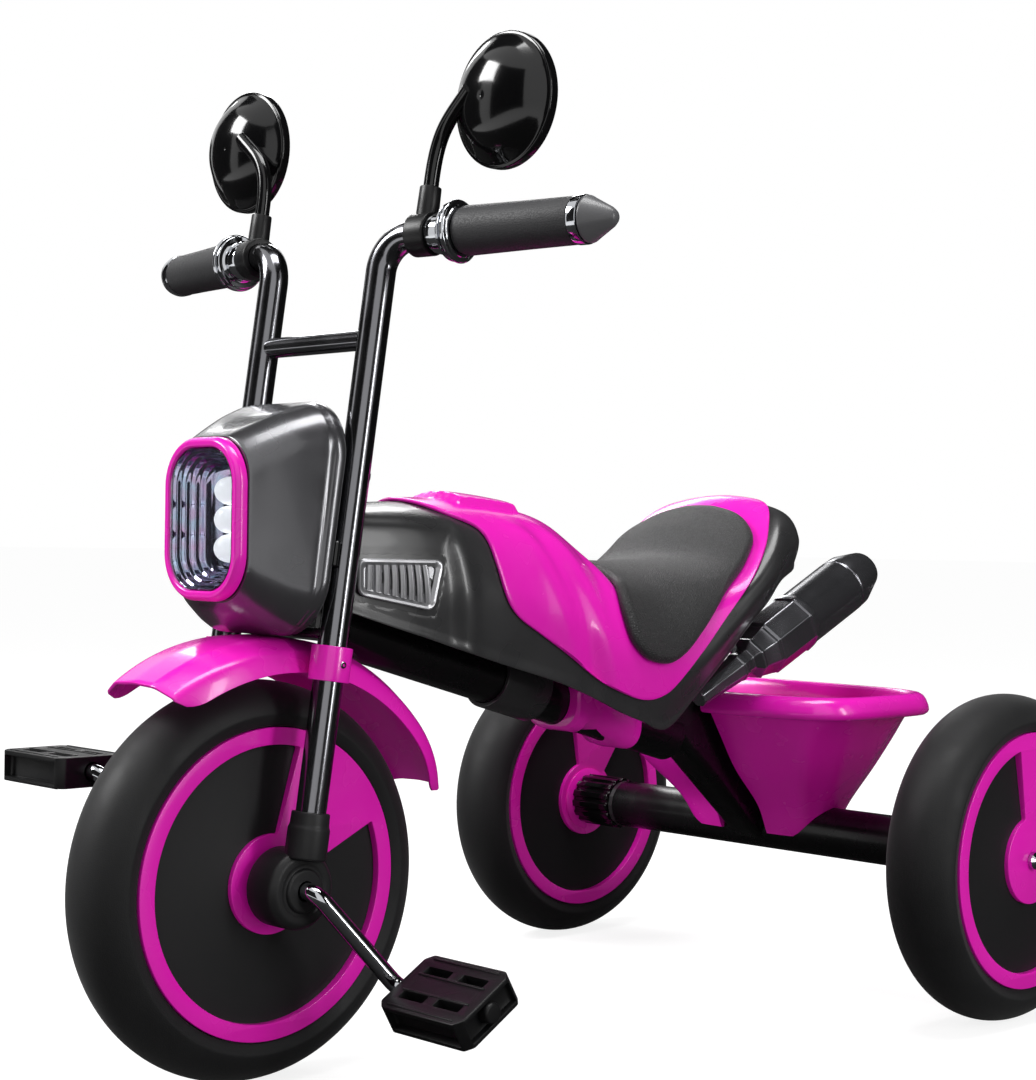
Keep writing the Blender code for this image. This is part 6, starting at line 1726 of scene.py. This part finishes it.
class TricycleColours(bpy.types.PropertyGroup):
    pink: bpy.props.FloatVectorProperty(
        name="Pink", description="Colour of the cover, fender, basket and wheel rings",
        subtype="COLOR", size=3, min=0, max=1, default=linear("#F91EC4"))
    charcoal: bpy.props.FloatVectorProperty(
        name="Charcoal", description="Colour of the body shell and grip caps",
        subtype="COLOR", size=3, min=0, max=1, default=linear("#303031"))
    black: bpy.props.FloatVectorProperty(
        name="Black", description="Colour of the mirrors and the painted frame",
        subtype="COLOR", size=3, min=0, max=1, default=linear("#0C0C0D"))


class Builder:
    """Runs an operator's steps in order; what fails in one is raised."""
    steps = ()

    def execute(self, context):
        for step in self.steps:
            step()
        return {"FINISHED"}


class BuildFinishes(bpy.types.Operator):
    """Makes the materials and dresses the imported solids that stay"""
    bl_idname = "tricycle.build_finishes"
    bl_label = "Finishes"

    def execute(self, context):
        make_finishes(context.scene.tricycle_colours)
        dress_frame_nodes()
        return {"FINISHED"}


class BuildStage(Builder, bpy.types.Operator):
    """Sets up the floor, the lamps and the camera"""
    bl_idname = "tricycle.build_stage"
    bl_label = "Stage"
    steps = (make_stage, make_camera)


class BuildWheels(Builder, bpy.types.Operator):
    """Builds the three wheels, the crank and the pedals"""
    bl_idname = "tricycle.build_wheels"
    bl_label = "Wheels and pedals"
    steps = (make_front_wheel, make_rear_wheels, make_crank)


class BuildSteering(Builder, bpy.types.Operator):
    """Builds the fork, its boots, the fender, the grips and the mirrors"""
    bl_idname = "tricycle.build_steering"
    bl_label = "Fork, grips and mirrors"
    steps = (make_fork, make_fork_ends, make_fender, make_grips, make_mirrors)


class BuildHeadlight(Builder, bpy.types.Operator):
    """Builds the headlight"""
    bl_idname = "tricycle.build_headlight"
    bl_label = "Headlight"
    steps = (make_headlight,)


class BuildBody(Builder, bpy.types.Operator):
    """Builds the shell, the cover, the vents, the silencers and the frame's tubes"""
    bl_idname = "tricycle.build_body"
    bl_label = "Body"
    steps = (make_body, make_vents, make_exhausts, make_frame_tubes, make_seat_bracket)


class BuildSeatPad(Builder, bpy.types.Operator):
    """Builds the padded seat"""
    bl_idname = "tricycle.build_seat_pad"
    bl_label = "Seat pad"
    steps = (make_seat_pad,)


class BuildBasket(Builder, bpy.types.Operator):
    """Builds the basket"""
    bl_idname = "tricycle.build_basket"
    bl_label = "Basket"
    steps = (make_basket,)


BUILDERS = (BuildFinishes, BuildStage, BuildWheels, BuildSteering, BuildHeadlight, BuildBody, BuildSeatPad,
            BuildBasket)


class TricyclePanel(bpy.types.Panel):
    """Lists the tricycle's colours and builders"""
    bl_idname = "VIEW3D_PT_tricycle"
    bl_label = "Tricycle"
    bl_space_type = "VIEW_3D"
    bl_region_type = "UI"
    bl_category = "Tricycle"

    def draw(self, context):
        colours = context.scene.tricycle_colours
        for name in ("pink", "charcoal", "black"):
            self.layout.prop(colours, name)
        for builder in BUILDERS:
            self.layout.operator(builder.bl_idname)


CLASSES = (TricycleColours, *BUILDERS, TricyclePanel)


def register():
    for made in CLASSES:
        bpy.utils.register_class(made)
    bpy.types.Scene.tricycle_colours = bpy.props.PointerProperty(type=TricycleColours)


def unregister():
    del bpy.types.Scene.tricycle_colours
    for made in reversed(CLASSES):
        bpy.utils.unregister_class(made)


def main():
    register()
    for builder in BUILDERS:
        group, name = builder.bl_idname.split(".")
        getattr(getattr(bpy.ops, group), name)()


if __name__ == "__main__":
    main()
